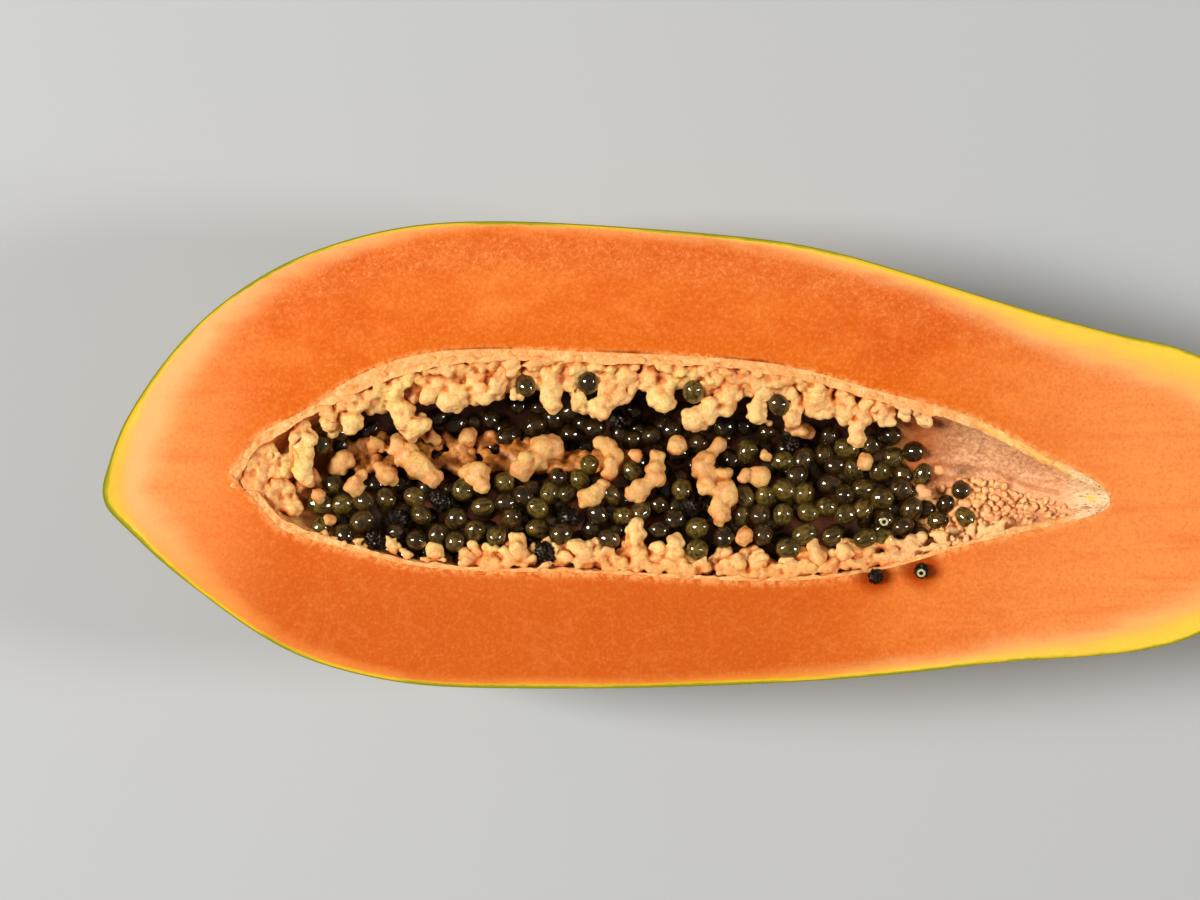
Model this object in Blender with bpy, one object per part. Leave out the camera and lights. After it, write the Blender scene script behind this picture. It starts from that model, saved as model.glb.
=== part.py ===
"""Papaya half: a ripe papaya cut lengthwise, lying on its rounded back.

Metres, +Z up. +X runs along the fruit towards the stem end, +Y across the cut
face, and +Z out of the cut face. The origin is under the middle of the
outline, at the level of what the half rests on.

Each body starts as a sphere whose poles are the two ends of the fruit. Its
rings take their reach to either side and their depth from the tables of
stations below.
"""
import math

import bmesh
import bpy
from mathutils import Vector, noise

# Whole half
FRUIT_START_X = -0.1600       # blossom tip
FRUIT_END_X = 0.1622          # stem end, before its scar is sunk
FRUIT_AXIS_Y = -0.0100        # the line from the blossom tip to the stem end
FACE_HEIGHT = 0.0600          # level of the cut face
RIB_COUNT = 5                 # round the whole fruit
RIB_HEIGHT = 0.012            # as a share of the radius
SIDE_BULGE = 0.10             # how full the sides are just below the cut face
CUT_RIM_SHARE = 0.982         # reach of the cut face's rim, as a share of the bulge's
STEM_SCAR_DEPTH = 0.0030
STEM_SCAR_RADIUS = 0.0090

# Cavity, out to the flesh
CAVITY_START = (-0.1231, -0.0063)
CAVITY_END = (0.1121, -0.0131)

# Pale lining of the cavity
LINING_SHARE = 0.115          # share of the cavity's reach that it fills
LINING_END_SHARE = 0.045      # share of the cavity's length
LINING_LUMP = 0.0022
LINING_LUMP_SIZE = 0.0110

# Seed heap, whose top lies below the cut face and falls towards +Y and +X
HEAP_HIGH_RECESS = 0.0035
HEAP_LOW_RECESS = 0.0150
HEAP_SLOPE_Y = (-0.0180, 0.0120)
HEAP_END_FALL = 0.0160
HEAP_END_X = (0.0500, 0.0850)
HEAP_BUMP = 0.0020
HEAP_BUMP_SIZE = 0.0080
HEAP_BLOCK_X = (-0.1200, 0.1100)
HEAP_BLOCK_Y = (-0.0500, 0.0350)
HEAP_GRID = 0.0058

GAP = 0.0003                  # between touching pieces
FRUIT_SEGMENTS = 56
FRUIT_RINGS = 48
CAVITY_SEGMENTS = 40
CAVITY_RINGS = 36

# Share of the length from the start; reach to +Y, reach to -Y and depth, from the axis
FRUIT_STATIONS = (
    (0.000, 0.0000, 0.0000, 0.0000),
    (0.006, 0.0077, 0.0057, 0.0070),
    (0.012, 0.0143, 0.0076, 0.0125),
    (0.029, 0.0246, 0.0130, 0.0200),
    (0.082, 0.0463, 0.0277, 0.0370),
    (0.125, 0.0571, 0.0379, 0.0460),
    (0.167, 0.0644, 0.0455, 0.0520),
    (0.251, 0.0722, 0.0525, 0.0586),
    (0.336, 0.0737, 0.0539, 0.0610),
    (0.462, 0.0715, 0.0537, 0.0618),
    (0.589, 0.0672, 0.0520, 0.0602),
    (0.673, 0.0598, 0.0498, 0.0562),
    (0.758, 0.0512, 0.0465, 0.0502),
    (0.842, 0.0436, 0.0447, 0.0446),
    (0.910, 0.0385, 0.0404, 0.0396),
    (0.970, 0.0265, 0.0270, 0.0268),
    (1.000, 0.0000, 0.0000, 0.0000),
)
CAVITY_STATIONS = (
    (0.000, 0.0000, 0.0000, 0.0000),
    (0.020, 0.0115, 0.0060, 0.0080),
    (0.045, 0.0150, 0.0130, 0.0125),
    (0.084, 0.0200, 0.0160, 0.0165),
    (0.129, 0.0282, 0.0186, 0.0210),
    (0.219, 0.0361, 0.0228, 0.0270),
    (0.414, 0.0371, 0.0229, 0.0300),
    (0.621, 0.0352, 0.0237, 0.0280),
    (0.744, 0.0280, 0.0195, 0.0215),
    (0.836, 0.0230, 0.0123, 0.0150),
    (0.929, 0.0120, 0.0067, 0.0080),
    (1.000, 0.0000, 0.0000, 0.0000),
)
SIDE_POSITIVE_Y, SIDE_NEGATIVE_Y, DEPTH = 1, 2, 3


def blend(start, end, share):
    return start + (end - start) * share


def smooth_step(low, high, value):
    t = max(0.0, min(1.0, (value - low) / (high - low)))
    return t * t * (3 - 2 * t)


def through_stations(stations, column, polar):
    """Value at a polar angle, on a smooth curve through one column.

    The angle from the start pole, not the distance along the axis, is the
    curve's variable, so each end comes out round.
    """
    angles = [math.acos(1 - 2 * row[0]) for row in stations]
    values = [row[column] for row in stations]
    last = len(stations) - 1

    def slope(k):
        low = max(k - 1, 0)
        high = min(k + 1, last)
        return (values[high] - values[low]) / (angles[high] - angles[low])

    i = 0
    while i < last - 1 and polar > angles[i + 1]:
        i += 1
    span = angles[i + 1] - angles[i]
    t = (polar - angles[i]) / span
    rise = values[i + 1] - values[i]
    start = slope(i) * span
    end = slope(i + 1) * span
    return values[i] + t * (start + t * (3 * rise - 2 * start - end + t * (start + end - 2 * rise)))


def fruit_point(polar, around):
    """Point on the skin, with faint ribs and the sunken stem scar."""
    x = blend(FRUIT_START_X, FRUIT_END_X, (1 - math.cos(polar)) / 2)
    positive = through_stations(FRUIT_STATIONS, SIDE_POSITIVE_Y, polar)
    negative = through_stations(FRUIT_STATIONS, SIDE_NEGATIVE_Y, polar)
    depth = through_stations(FRUIT_STATIONS, DEPTH, polar)
    wave = math.cos(RIB_COUNT * (around - math.pi / 2))
    rib = 1 - RIB_HEIGHT * abs(math.sin(around)) * wave
    fullness = CUT_RIM_SHARE * (1 + SIDE_BULGE * abs(math.sin(2 * around)))
    middle_y = FRUIT_AXIS_Y + (positive - negative) / 2
    y = middle_y + (positive + negative) / 2 * math.cos(around) * fullness * rib
    z = FACE_HEIGHT - depth * math.sin(around) * rib
    if polar > math.pi / 2:
        off_axis = math.hypot(y - FRUIT_AXIS_Y, z - FACE_HEIGHT)
        x -= STEM_SCAR_DEPTH * math.exp(-(off_axis / STEM_SCAR_RADIUS) ** 2)
    return Vector((x, y, z))


def cavity_point(polar, around, reach_share=1.0, length_share=1.0):
    """Point on the cavity's wall, or on a smaller wall of the same form."""
    along = (1 - math.cos(polar) * length_share) / 2
    x = blend(CAVITY_START[0], CAVITY_END[0], along)
    axis_y = blend(CAVITY_START[1], CAVITY_END[1], along)
    side = SIDE_POSITIVE_Y if math.cos(around) > 0 else SIDE_NEGATIVE_Y
    across = through_stations(CAVITY_STATIONS, side, polar) * math.cos(around)
    down = through_stations(CAVITY_STATIONS, DEPTH, polar) * math.sin(around)
    return Vector((x, axis_y + across * reach_share, FACE_HEIGHT - down * reach_share))


def lining_point(polar, around):
    """Point on the lining's inner wall, lumpy like the pulp that holds seeds."""
    point = cavity_point(polar, around, 1 - LINING_SHARE, 1 - LINING_END_SHARE)
    inward = Vector((point.x, FRUIT_AXIS_Y, FACE_HEIGHT)) - point
    lump = LINING_LUMP * math.sin(polar) * noise.noise(point / LINING_LUMP_SIZE)
    return point + inward.normalized() * lump


def heap_top(x, y):
    """Height of the uneven top of the seeds."""
    slope = smooth_step(*HEAP_SLOPE_Y, y)
    recess = blend(HEAP_HIGH_RECESS, HEAP_LOW_RECESS, slope)
    recess += HEAP_END_FALL * smooth_step(*HEAP_END_X, x)
    bump = HEAP_BUMP * noise.noise(Vector((x, y, 0)) / HEAP_BUMP_SIZE)
    return FACE_HEIGHT - recess + bump


def make_object(name, bm):
    mesh = bpy.data.meshes.new(name)
    bm.to_mesh(mesh)
    bm.free()
    mesh.shade_smooth()
    mesh.set_sharp_from_angle(angle=math.radians(40))
    return bpy.data.objects.new(name, mesh)


def shaped_sphere(segments, rings, place):
    """Sphere with its poles on X, each vertex moved to place(polar, around).

    polar is 0 at the -X pole and pi at the +X pole; around is 0 towards +Y
    and pi / 2 straight down.
    """
    bm = bmesh.new()
    bmesh.ops.create_uvsphere(bm, u_segments=segments, v_segments=rings, radius=1)
    for vert in bm.verts:
        polar = math.acos(max(-1.0, min(1.0, -vert.co.z)))
        around = math.atan2(-vert.co.y, vert.co.x)
        vert.co = place(polar, around)
    bm.normal_update()
    return bm


def swell(bm, distance):
    """Move the surface outwards, or inwards if the distance is negative."""
    moved = [vert.co + vert.normal * distance for vert in bm.verts]
    for vert, place in zip(bm.verts, moved):
        vert.co = place
    return bm


def slice_level(bm, height, keep_below):
    """Slice the body at a height and close the cut with a flat face."""
    result = bmesh.ops.bisect_plane(
        bm, geom=bm.verts[:] + bm.edges[:] + bm.faces[:], dist=1e-7,
        plane_co=(0, 0, height), plane_no=(0, 0, 1),
        clear_outer=keep_below, clear_inner=not keep_below)
    rim = [item for item in result["geom_cut"] if isinstance(item, bmesh.types.BMEdge)]
    bmesh.ops.holes_fill(bm, edges=rim, sides=0)
    return bm


def add_boolean(body, cutter, operation):
    boolean = body.modifiers.new(operation.title(), "BOOLEAN")
    boolean.operation = operation
    boolean.solver = "EXACT"
    boolean.object = cutter


def make_cutter(name, bm, cutters):
    cutter = make_object(name, bm)
    cutter.hide_render = True
    cutter.display_type = "WIRE"
    cutters.objects.link(cutter)
    return cutter


def make_material(name, colour, roughness):
    material = bpy.data.materials.new(name)
    material.use_nodes = True
    shader = material.node_tree.nodes["Principled BSDF"]
    shader.inputs["Base Color"].default_value = (*colour, 1)
    shader.inputs["Roughness"].default_value = roughness
    shader.inputs["Metallic"].default_value = 0.0
    return material


def build_flesh(parts, cutters):
    """Flesh and skin in one piece, hollowed for the lining and the seeds."""
    whole = shaped_sphere(FRUIT_SEGMENTS, FRUIT_RINGS, fruit_point)
    half = slice_level(whole, FACE_HEIGHT, keep_below=True)
    rested = slice_level(half, 0.0, keep_below=False)
    flesh = make_object("papaya_flesh", rested)
    cavity = swell(shaped_sphere(CAVITY_SEGMENTS, CAVITY_RINGS, cavity_point), GAP)
    add_boolean(flesh, make_cutter("cavity_cutter", cavity, cutters), "DIFFERENCE")
    flesh.data.materials.append(make_material("flesh", (0.90, 0.21, 0.045), 0.45))
    parts.objects.link(flesh)


def build_lining(parts, cutters):
    """Pale pulp between the flesh and the seeds, which shows at the cut."""
    outer = shaped_sphere(CAVITY_SEGMENTS, CAVITY_RINGS, cavity_point)
    lining = make_object("cavity_lining", slice_level(outer, FACE_HEIGHT, keep_below=True))
    space = shaped_sphere(CAVITY_SEGMENTS, CAVITY_RINGS, lining_point)
    add_boolean(lining, make_cutter("lining_cutter", space, cutters), "DIFFERENCE")
    lining.data.materials.append(make_material("lining", (0.85, 0.45, 0.20), 0.5))
    parts.objects.link(lining)


def heap_block():
    """Block under the heap's top, wider than the space inside the lining."""
    bm = bmesh.new()
    length = HEAP_BLOCK_X[1] - HEAP_BLOCK_X[0]
    width = HEAP_BLOCK_Y[1] - HEAP_BLOCK_Y[0]
    bmesh.ops.create_grid(bm, x_segments=round(length / HEAP_GRID),
                          y_segments=round(width / HEAP_GRID), size=0.5)
    for vert in bm.verts:
        x = blend(*HEAP_BLOCK_X, vert.co.x + 0.5)
        y = blend(*HEAP_BLOCK_Y, vert.co.y + 0.5)
        vert.co = Vector((x, y, heap_top(x, y)))
    extruded = bmesh.ops.extrude_face_region(bm, geom=bm.faces[:])
    for item in extruded["geom"]:
        if isinstance(item, bmesh.types.BMVert):
            item.co.z = 0.0
    bmesh.ops.recalc_face_normals(bm, faces=bm.faces)
    return bm


def build_seed_heap(parts, cutters):
    """The seeds as one solid, out to the heap's uneven top."""
    space = swell(shaped_sphere(CAVITY_SEGMENTS, CAVITY_RINGS, lining_point), -GAP)
    heap = make_object("seed_heap", space)
    add_boolean(heap, make_cutter("heap_block", heap_block(), cutters), "INTERSECT")
    heap.data.materials.append(make_material("seeds", (0.020, 0.016, 0.008), 0.2))
    parts.objects.link(heap)


def main():
    for item in list(bpy.data.objects):
        bpy.data.objects.remove(item)
    parts = bpy.data.collections.new("papaya_half")
    cutters = bpy.data.collections.new("cutters")
    bpy.context.scene.collection.children.link(parts)
    bpy.context.scene.collection.children.link(cutters)
    build_flesh(parts, cutters)
    build_lining(parts, cutters)
    build_seed_heap(parts, cutters)


main()
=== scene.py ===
"""Papaya half: the looks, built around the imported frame.

The half lies on its back with the cut face up. The camera looks straight down
on the face, with +Y up in the picture.
"""

import math
import random

import bmesh
import bpy
import numpy as np
from mathutils import Euler, Matrix, Vector, noise
from mathutils.bvhtree import BVHTree
from mathutils.kdtree import KDTree


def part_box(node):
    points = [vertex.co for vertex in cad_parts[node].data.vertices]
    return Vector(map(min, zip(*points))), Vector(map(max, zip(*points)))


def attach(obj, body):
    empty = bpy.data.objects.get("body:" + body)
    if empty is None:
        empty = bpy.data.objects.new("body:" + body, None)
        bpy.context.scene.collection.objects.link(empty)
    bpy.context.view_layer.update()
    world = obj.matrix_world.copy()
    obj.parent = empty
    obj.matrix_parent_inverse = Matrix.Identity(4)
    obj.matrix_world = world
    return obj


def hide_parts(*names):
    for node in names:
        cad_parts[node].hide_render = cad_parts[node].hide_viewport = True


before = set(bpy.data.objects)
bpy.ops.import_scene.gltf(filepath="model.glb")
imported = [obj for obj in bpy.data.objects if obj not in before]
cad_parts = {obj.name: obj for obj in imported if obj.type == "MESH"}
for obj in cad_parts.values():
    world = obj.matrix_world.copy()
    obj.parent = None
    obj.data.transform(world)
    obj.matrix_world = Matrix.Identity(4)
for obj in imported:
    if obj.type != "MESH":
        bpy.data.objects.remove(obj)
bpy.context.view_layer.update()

FLESH = "papaya_flesh"
LINING = "cavity_lining"
HEAP = "seed_heap"
BODY = "root"

fruit_low, fruit_high = (Vector(corner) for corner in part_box(FLESH))
hollow_low, hollow_high = (Vector(corner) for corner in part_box(LINING))
heap_low, heap_high = (Vector(corner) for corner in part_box(HEAP))
FACE = fruit_high.z
FRUIT_AXIS_Y = -0.0100
HOLLOW_AXIS_Y = -0.0095
MM = 0.001
OUTSIDE = 0.4                 # how far out the rays that look in at the skin start
ROWS = 441                    # of every grid that runs from end to end
ROW_BLUR = 4.0


# ---------------------------------------------------------------- sampling

def tree_of(node):
    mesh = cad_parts[node].data
    corners = [vert.co.copy() for vert in mesh.vertices]
    faces = [tuple(face.vertices) for face in mesh.polygons]
    return BVHTree.FromPolygons(corners, faces)


trees = {name: tree_of(name) for name in (FLESH, LINING, HEAP)}


def cast(tree, start, direction):
    return tree.ray_cast(Vector(start), Vector(direction))[0]


def drop(tree, x, y, height=0.02):
    """Where a ray straight down from a height over the face meets the tree."""
    return cast(tree, (x, y, FACE + height), (0, 0, -1))


def wall_grid(low_x, high_x, axis_y, end_radius, columns, inward):
    """Surface points on a grid of rows from end to end and columns round the half.

    Rays run in a fan from a centre that moves along the fruit, so the ends are
    covered as evenly as the sides.
    """
    middle = (low_x + high_x) / 2
    reach = (high_x - low_x) / 2 - end_radius
    height = FACE - 0.02 * MM
    grid = np.zeros((ROWS, columns, 3))
    for i in range(ROWS):
        polar = math.pi * i / (ROWS - 1)
        centre = Vector((middle - math.cos(polar) * reach, axis_y, height))
        for j in range(columns):
            around = math.pi * j / (columns - 1)
            across = math.sin(polar) * math.cos(around)
            down = math.sin(polar) * math.sin(around)
            way = Vector((-math.cos(polar), across, -down)).normalized()
            if inward:
                hit = cast(trees[FLESH], centre + way * OUTSIDE, -way)
            else:
                hit = cast(trees[FLESH], centre, way)
            grid[i, j] = hit if hit else centre
    return grid


def kernel(sigma):
    """How far a blur reaches either way, and its weights."""
    span = int(3 * sigma + 1)
    weights = np.exp(-0.5 * (np.arange(-span, span + 1) / sigma) ** 2)
    return span, weights / weights.sum()


def smooth_grid(grid, column_blur):
    """Takes the facets out. Past the rim and the ends the half is mirrored."""
    result = grid.copy()
    span, weights = kernel(column_blur)
    mirror = result * (1, 1, -1) + (0, 0, 2 * FACE)
    before = mirror[:, 1:span + 1][:, ::-1]
    after = mirror[:, -span - 1:-1][:, ::-1]
    wide = np.concatenate((before, result, after), axis=1)
    columns = result.shape[1]
    result = sum(w * wide[:, k:k + columns] for k, w in enumerate(weights))
    span, weights = kernel(ROW_BLUR)
    flipped = result[:, ::-1] * (1, 1, -1) + (0, 0, 2 * FACE)
    before = flipped[1:span + 1][::-1]
    after = flipped[-span - 1:-1][::-1]
    tall = np.concatenate((before, result, after), axis=0)
    rows = result.shape[0]
    result = sum(w * tall[k:k + rows] for k, w in enumerate(weights))
    result[:, 0, 2] = FACE
    result[:, -1, 2] = FACE
    result[0] = result[0].mean(axis=0)
    result[-1] = result[-1].mean(axis=0)
    result[0, :, 2] = FACE
    result[-1, :, 2] = FACE
    return result


# ---------------------------------------------------------------- mesh helpers

def grid_faces(rows, columns, offset=0, flip=False):
    faces = []
    for i in range(rows - 1):
        for j in range(columns - 1):
            a = offset + i * columns + j
            quad = (a, a + 1, a + columns + 1, a + columns)
            faces.append(quad[::-1] if flip else quad)
    return faces


def loop_faces(loops, count, flip=False):
    """Quads between closed loops of count points each, one after the other."""
    faces = []
    for r in range(loops - 1):
        for k in range(count):
            n = (k + 1) % count
            quad = (r * count + k, r * count + n, (r + 1) * count + n, (r + 1) * count + k)
            faces.append((quad[0], quad[3], quad[2], quad[1]) if flip else quad)
    return faces


def new_piece(name, verts, faces, node):
    mesh = bpy.data.meshes.new(name)
    mesh.from_pydata([tuple(v) for v in verts], [], faces)
    piece = bpy.data.objects.new(name, mesh)
    bpy.context.scene.collection.objects.link(piece)
    mesh.shade_smooth()
    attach(piece, BODY)
    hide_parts(node)
    return piece


def paint(mesh, **zones):
    """Stores values for each point, which the materials read by name."""
    for name, values in zones.items():
        layer = mesh.attributes.new(name, "FLOAT", "POINT")
        layer.data.foreach_set("value", np.asarray(values, dtype=np.float32))


def weld(mesh):
    """Joins points that coincide, and keeps the line between two materials sharp."""
    bm = bmesh.new()
    bm.from_mesh(mesh)
    bmesh.ops.remove_doubles(bm, verts=bm.verts, dist=0.01 * MM)
    for edge in bm.edges:
        if len({face.material_index for face in edge.link_faces}) > 1:
            edge.smooth = False
    bm.to_mesh(mesh)
    bm.free()


def point_tree(points):
    tree = KDTree(len(points))
    for k, point in enumerate(points):
        tree.insert(Vector(point), k)
    tree.balance()
    return tree


def any_turn(rng):
    return Euler([rng.uniform(0, math.tau) for _ in range(3)]).to_matrix()


def smooth_step(low, high, value):
    t = np.clip((value - low) / (high - low), 0, 1)
    return t * t * (3 - 2 * t)


def fbm(point, size, octaves=3):
    """Noise from about -1 to 1 with its largest lumps near size across."""
    return noise.fractal(Vector(point) / size, 1.0, 2.0, octaves)


# ---------------------------------------------------------------- materials

def srgb(red, green, blue):
    """An 8-bit sRGB colour as the linear values that shaders use."""
    def linear(value):
        value /= 255
        return value / 12.92 if value <= 0.04045 else ((value + 0.055) / 1.055) ** 2.4
    return tuple(linear(value) for value in (red, green, blue))


class Shader:
    """A Principled material with short calls for its nodes."""

    def __init__(self, name, roughness=0.4, specular=0.5):
        self.material = bpy.data.materials.new(name)
        self.material.use_nodes = True
        self.tree = self.material.node_tree
        self.main = self.tree.nodes["Principled BSDF"]
        self.main.inputs["Roughness"].default_value = roughness
        self.main.inputs["Specular IOR Level"].default_value = specular
        self.coords = self.node("ShaderNodeTexCoord").outputs["Object"]
        self.base = None

    def node(self, kind, **settings):
        node = self.tree.nodes.new(kind)
        for key, value in settings.items():
            setattr(node, key, value)
        return node

    def link(self, source, target):
        self.tree.links.new(source, target)

    def feed(self, socket, value):
        if isinstance(value, bpy.types.NodeSocket):
            self.link(value, socket)
        elif isinstance(value, tuple) and len(value) == 3 and socket.type == "RGBA":
            socket.default_value = (*value, 1)
        else:
            socket.default_value = value

    def place(self, stretch):
        if stretch is None:
            return self.coords
        node = self.node("ShaderNodeMapping")
        node.inputs["Scale"].default_value = stretch
        self.link(self.coords, node.inputs["Vector"])
        return node.outputs["Vector"]

    def noise(self, size, detail=3.0, roughness=0.5, stretch=None, distortion=0.0):
        node = self.node("ShaderNodeTexNoise")
        self.link(self.place(stretch), node.inputs["Vector"])
        node.inputs["Scale"].default_value = 1 / size
        node.inputs["Detail"].default_value = detail
        node.inputs["Roughness"].default_value = roughness
        node.inputs["Distortion"].default_value = distortion
        return node.outputs["Fac"]

    def cells(self, size):
        node = self.node("ShaderNodeTexVoronoi")
        self.link(self.coords, node.inputs["Vector"])
        node.inputs["Scale"].default_value = 1 / size
        return node.outputs["Distance"]

    def zone(self, name, share=None):
        """A value stored on the mesh, times share where that is given."""
        value = self.node("ShaderNodeAttribute", attribute_name=name).outputs["Fac"]
        return value if share is None else self.times(value, share)

    def ramp(self, value, *stops):
        node = self.node("ShaderNodeValToRGB")
        ramp = node.color_ramp
        while len(ramp.elements) < len(stops):
            ramp.elements.new(0.5)
        for element, (place, colour) in zip(ramp.elements, stops):
            element.position = place
            element.color = (*colour, 1)
        self.link(value, node.inputs["Fac"])
        return node.outputs["Color"]

    def range(self, value, low, high, to_low=0.0, to_high=1.0):
        node = self.node("ShaderNodeMapRange")
        self.feed(node.inputs["Value"], value)
        node.inputs["From Min"].default_value = low
        node.inputs["From Max"].default_value = high
        node.inputs["To Min"].default_value = to_low
        node.inputs["To Max"].default_value = to_high
        return node.outputs["Result"]

    def math(self, operation, first, second=0.0):
        node = self.node("ShaderNodeMath", operation=operation)
        self.feed(node.inputs[0], first)
        self.feed(node.inputs[1], second)
        return node.outputs["Value"]

    def times(self, *values):
        result = values[0]
        for value in values[1:]:
            result = self.math("MULTIPLY", result, value)
        return result

    def mix(self, share, first, second):
        node = self.node("ShaderNodeMix", data_type="RGBA")
        self.feed(node.inputs["Factor"], share)
        sockets = [socket for socket in node.inputs if socket.type == "RGBA"]
        self.feed(sockets[0], first)
        self.feed(sockets[1], second)
        return next(socket for socket in node.outputs if socket.type == "RGBA")

    def bump(self, height, distance, strength=1.0, under=None):
        node = self.node("ShaderNodeBump")
        node.inputs["Strength"].default_value = strength
        node.inputs["Distance"].default_value = distance
        self.link(height, node.inputs["Height"])
        if under is not None:
            self.link(under, node.inputs["Normal"])
        return node.outputs["Normal"]

    def tint(self, share, colour):
        """Lays a colour over the base as far as share says."""
        self.base = self.mix(share, self.base, srgb(*colour) if isinstance(colour, tuple) else colour)

    def colour(self, value):
        self.feed(self.main.inputs["Base Color"], value)

    def rough(self, value):
        self.feed(self.main.inputs["Roughness"], value)

    def normal(self, value):
        self.link(value, self.main.inputs["Normal"])

    def coat(self, weight, roughness):
        self.main.inputs["Coat Weight"].default_value = weight
        self.main.inputs["Coat Roughness"].default_value = roughness

    def glow(self, weight, depth, radius=(1.0, 0.45, 0.18)):
        """Light that soaks into the pulp and comes out warmer."""
        self.main.inputs["Subsurface Weight"].default_value = weight
        self.main.inputs["Subsurface Radius"].default_value = radius
        self.main.inputs["Subsurface Scale"].default_value = depth


def flesh_material():
    s = Shader("flesh_cut", roughness=0.60, specular=0.06)
    clouds = s.noise(26 * MM, 4, 0.6, stretch=(0.7, 1.2, 1))
    s.base = s.ramp(
        clouds, (0.32, srgb(208, 89, 18)), (0.50, srgb(218, 102, 27)), (0.70, srgb(229, 122, 43))
    )
    small = s.noise(6 * MM, 3, 0.55, stretch=(0.6, 1, 1))
    s.tint(s.range(small, 0.50, 0.70, 0.0, 0.26), (240, 126, 48))
    s.tint(s.range(small, 0.50, 0.32, 0.0, 0.22), (212, 82, 14))
    s.tint(s.zone("inner", 0.6), (213, 99, 8))
    # Lower side redder and darker: partly the flesh's own redder colour, partly painted shade, darker
    # towards the bottom as if lit from above.
    s.tint(s.zone("low_side", 0.95), (198, 87, 18))
    s.tint(s.zone("light_side", 0.80), (241, 147, 76))
    speckled = s.zone("speckled")
    s.tint(s.times(speckled, 0.40), (212, 98, 40))

    grain = s.noise(0.9 * MM, 3, 0.65)
    grain_share = s.range(s.zone("low_side"), 0.0, 1.0, 0.34, 0.20)
    s.tint(s.times(s.range(grain, 0.50, 0.72), grain_share), (248, 152, 74))
    s.tint(s.times(s.range(grain, 0.50, 0.28), grain_share), (198, 68, 8))
    mottle_and_sparkle = s.noise(1.1 * MM, 4, 0.75, distortion=0.7)
    rough_zone = s.range(speckled, 0, 1, 0.04, 0.60)
    # Pale specks: partly the flesh's mottling, partly painted sparkle of wet grains. Dark specks: mottling.
    s.tint(s.times(s.range(mottle_and_sparkle, 0.54, 0.68), rough_zone), (248, 158, 98))
    s.tint(s.times(s.range(mottle_and_sparkle, 0.46, 0.36), rough_zone), (196, 78, 30))
    veins = s.math("ABSOLUTE", s.math("SUBTRACT", s.noise(15 * MM, 2, 0.5, distortion=0.6), 0.5))
    s.tint(s.range(veins, 0.022, 0.0, 0.0, 0.07), (252, 164, 96))
    streak = s.noise(4 * MM, 3, 0.6, stretch=(0.10, 1.0, 1.0))
    streaks = s.times(s.range(streak, 0.50, 0.72), s.zone("streaky"))
    s.tint(s.times(streaks, 0.45), (222, 90, 34))

    wobble = s.range(s.noise(9 * MM, 5, 0.6, stretch=(0.45, 1.2, 1)), 0.3, 0.7, -0.17, 0.17)
    pale = s.math("ADD", s.zone("pale"), s.times(wobble, s.range(s.zone("pale"), 0.02, 0.2)))
    # The lower side's pale zone is darker too, part of the same painted shade.
    faded = s.mix(s.zone("low_side"), srgb(243, 177, 110), srgb(234, 142, 62))
    s.tint(s.range(pale, 0.0, 0.75, 0.0, 0.85), faded)
    yellow = s.math("ADD", s.zone("yellow"), s.times(wobble, s.range(s.zone("yellow"), 0.02, 0.2)))
    # The lower side's yellow zone is darker too, part of the same painted shade.
    warm = s.mix(s.zone("low_side"), srgb(243, 178, 80), srgb(224, 144, 30))
    s.tint(s.range(yellow, 0.05, 0.62), warm)
    s.tint(s.times(s.range(yellow, 0.50, 1.0), 0.85), (238, 200, 60))
    s.tint(s.zone("end_tip", 0.6), (206, 166, 46))
    edge = s.zone("edge")
    greens = s.noise(34 * MM, 3, 0.6)
    uneven = s.math("ADD", edge, s.range(s.noise(3 * MM, 3, 0.6), 0.3, 0.7, -0.12, 0.12))
    s.tint(s.range(uneven, 0.20, 0.60, 0.0, 0.85), (214, 178, 38))
    s.tint(s.times(s.range(uneven, 0.42, 0.68), s.range(greens, 0.40, 0.52)), (150, 146, 22))
    s.tint(s.range(edge, 0.80, 0.95), (124, 120, 22))
    torn = s.range(s.noise(1.8 * MM, 4, 0.65, distortion=0.5), 0.40, 0.60)
    s.tint(s.times(s.zone("fringe"), torn, 0.8), (247, 164, 90))
    wet = s.zone("wet")
    s.tint(s.times(wet, 0.92), (168, 58, 6))
    # Painted shade: the thin splits are darkened, over a shallow groove.
    s.tint(s.zone("crack"), (124, 36, 8))
    s.colour(s.base)
    s.rough(s.range(wet, 0, 1, 0.60, 0.18))
    fine = s.bump(s.noise(0.7 * MM, 3, 0.7), 0.20 * MM, 0.5)
    s.normal(s.bump(grain, 0.30 * MM, 0.45, fine))
    s.glow(0.10, 2.0 * MM)
    return s.material


def skin_material():
    s = Shader("skin", roughness=0.40, specular=0.35)
    patches = s.noise(55 * MM, 4, 0.55, stretch=(0.55, 1, 1))
    blotch = s.noise(9 * MM, 5, 0.6)
    green = s.ramp(blotch, (0.30, srgb(86, 104, 24)), (0.70, srgb(148, 148, 38)))
    ripe = s.ramp(blotch, (0.30, srgb(222, 160, 34)), (0.70, srgb(244, 188, 56)))
    blend = s.math("ADD", s.range(patches, 0.42, 0.62), s.zone("ripe"))
    s.base = s.mix(s.range(blend, 0.15, 1.0), green, ripe)
    dots = s.range(s.cells(5 * MM), 0.10, 0.05)
    s.tint(s.times(dots, 0.5), (110, 86, 30))
    scars = s.range(s.noise(16 * MM, 6, 0.7, stretch=(0.4, 1, 1)), 0.66, 0.72)
    s.tint(s.times(scars, 0.7), (104, 72, 34))
    s.tint(s.zone("scar"), (92, 62, 34))
    s.colour(s.base)
    s.normal(s.bump(s.noise(1.2 * MM, 3), 0.15 * MM, 0.35))
    s.coat(0.08, 0.2)
    return s.material


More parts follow.
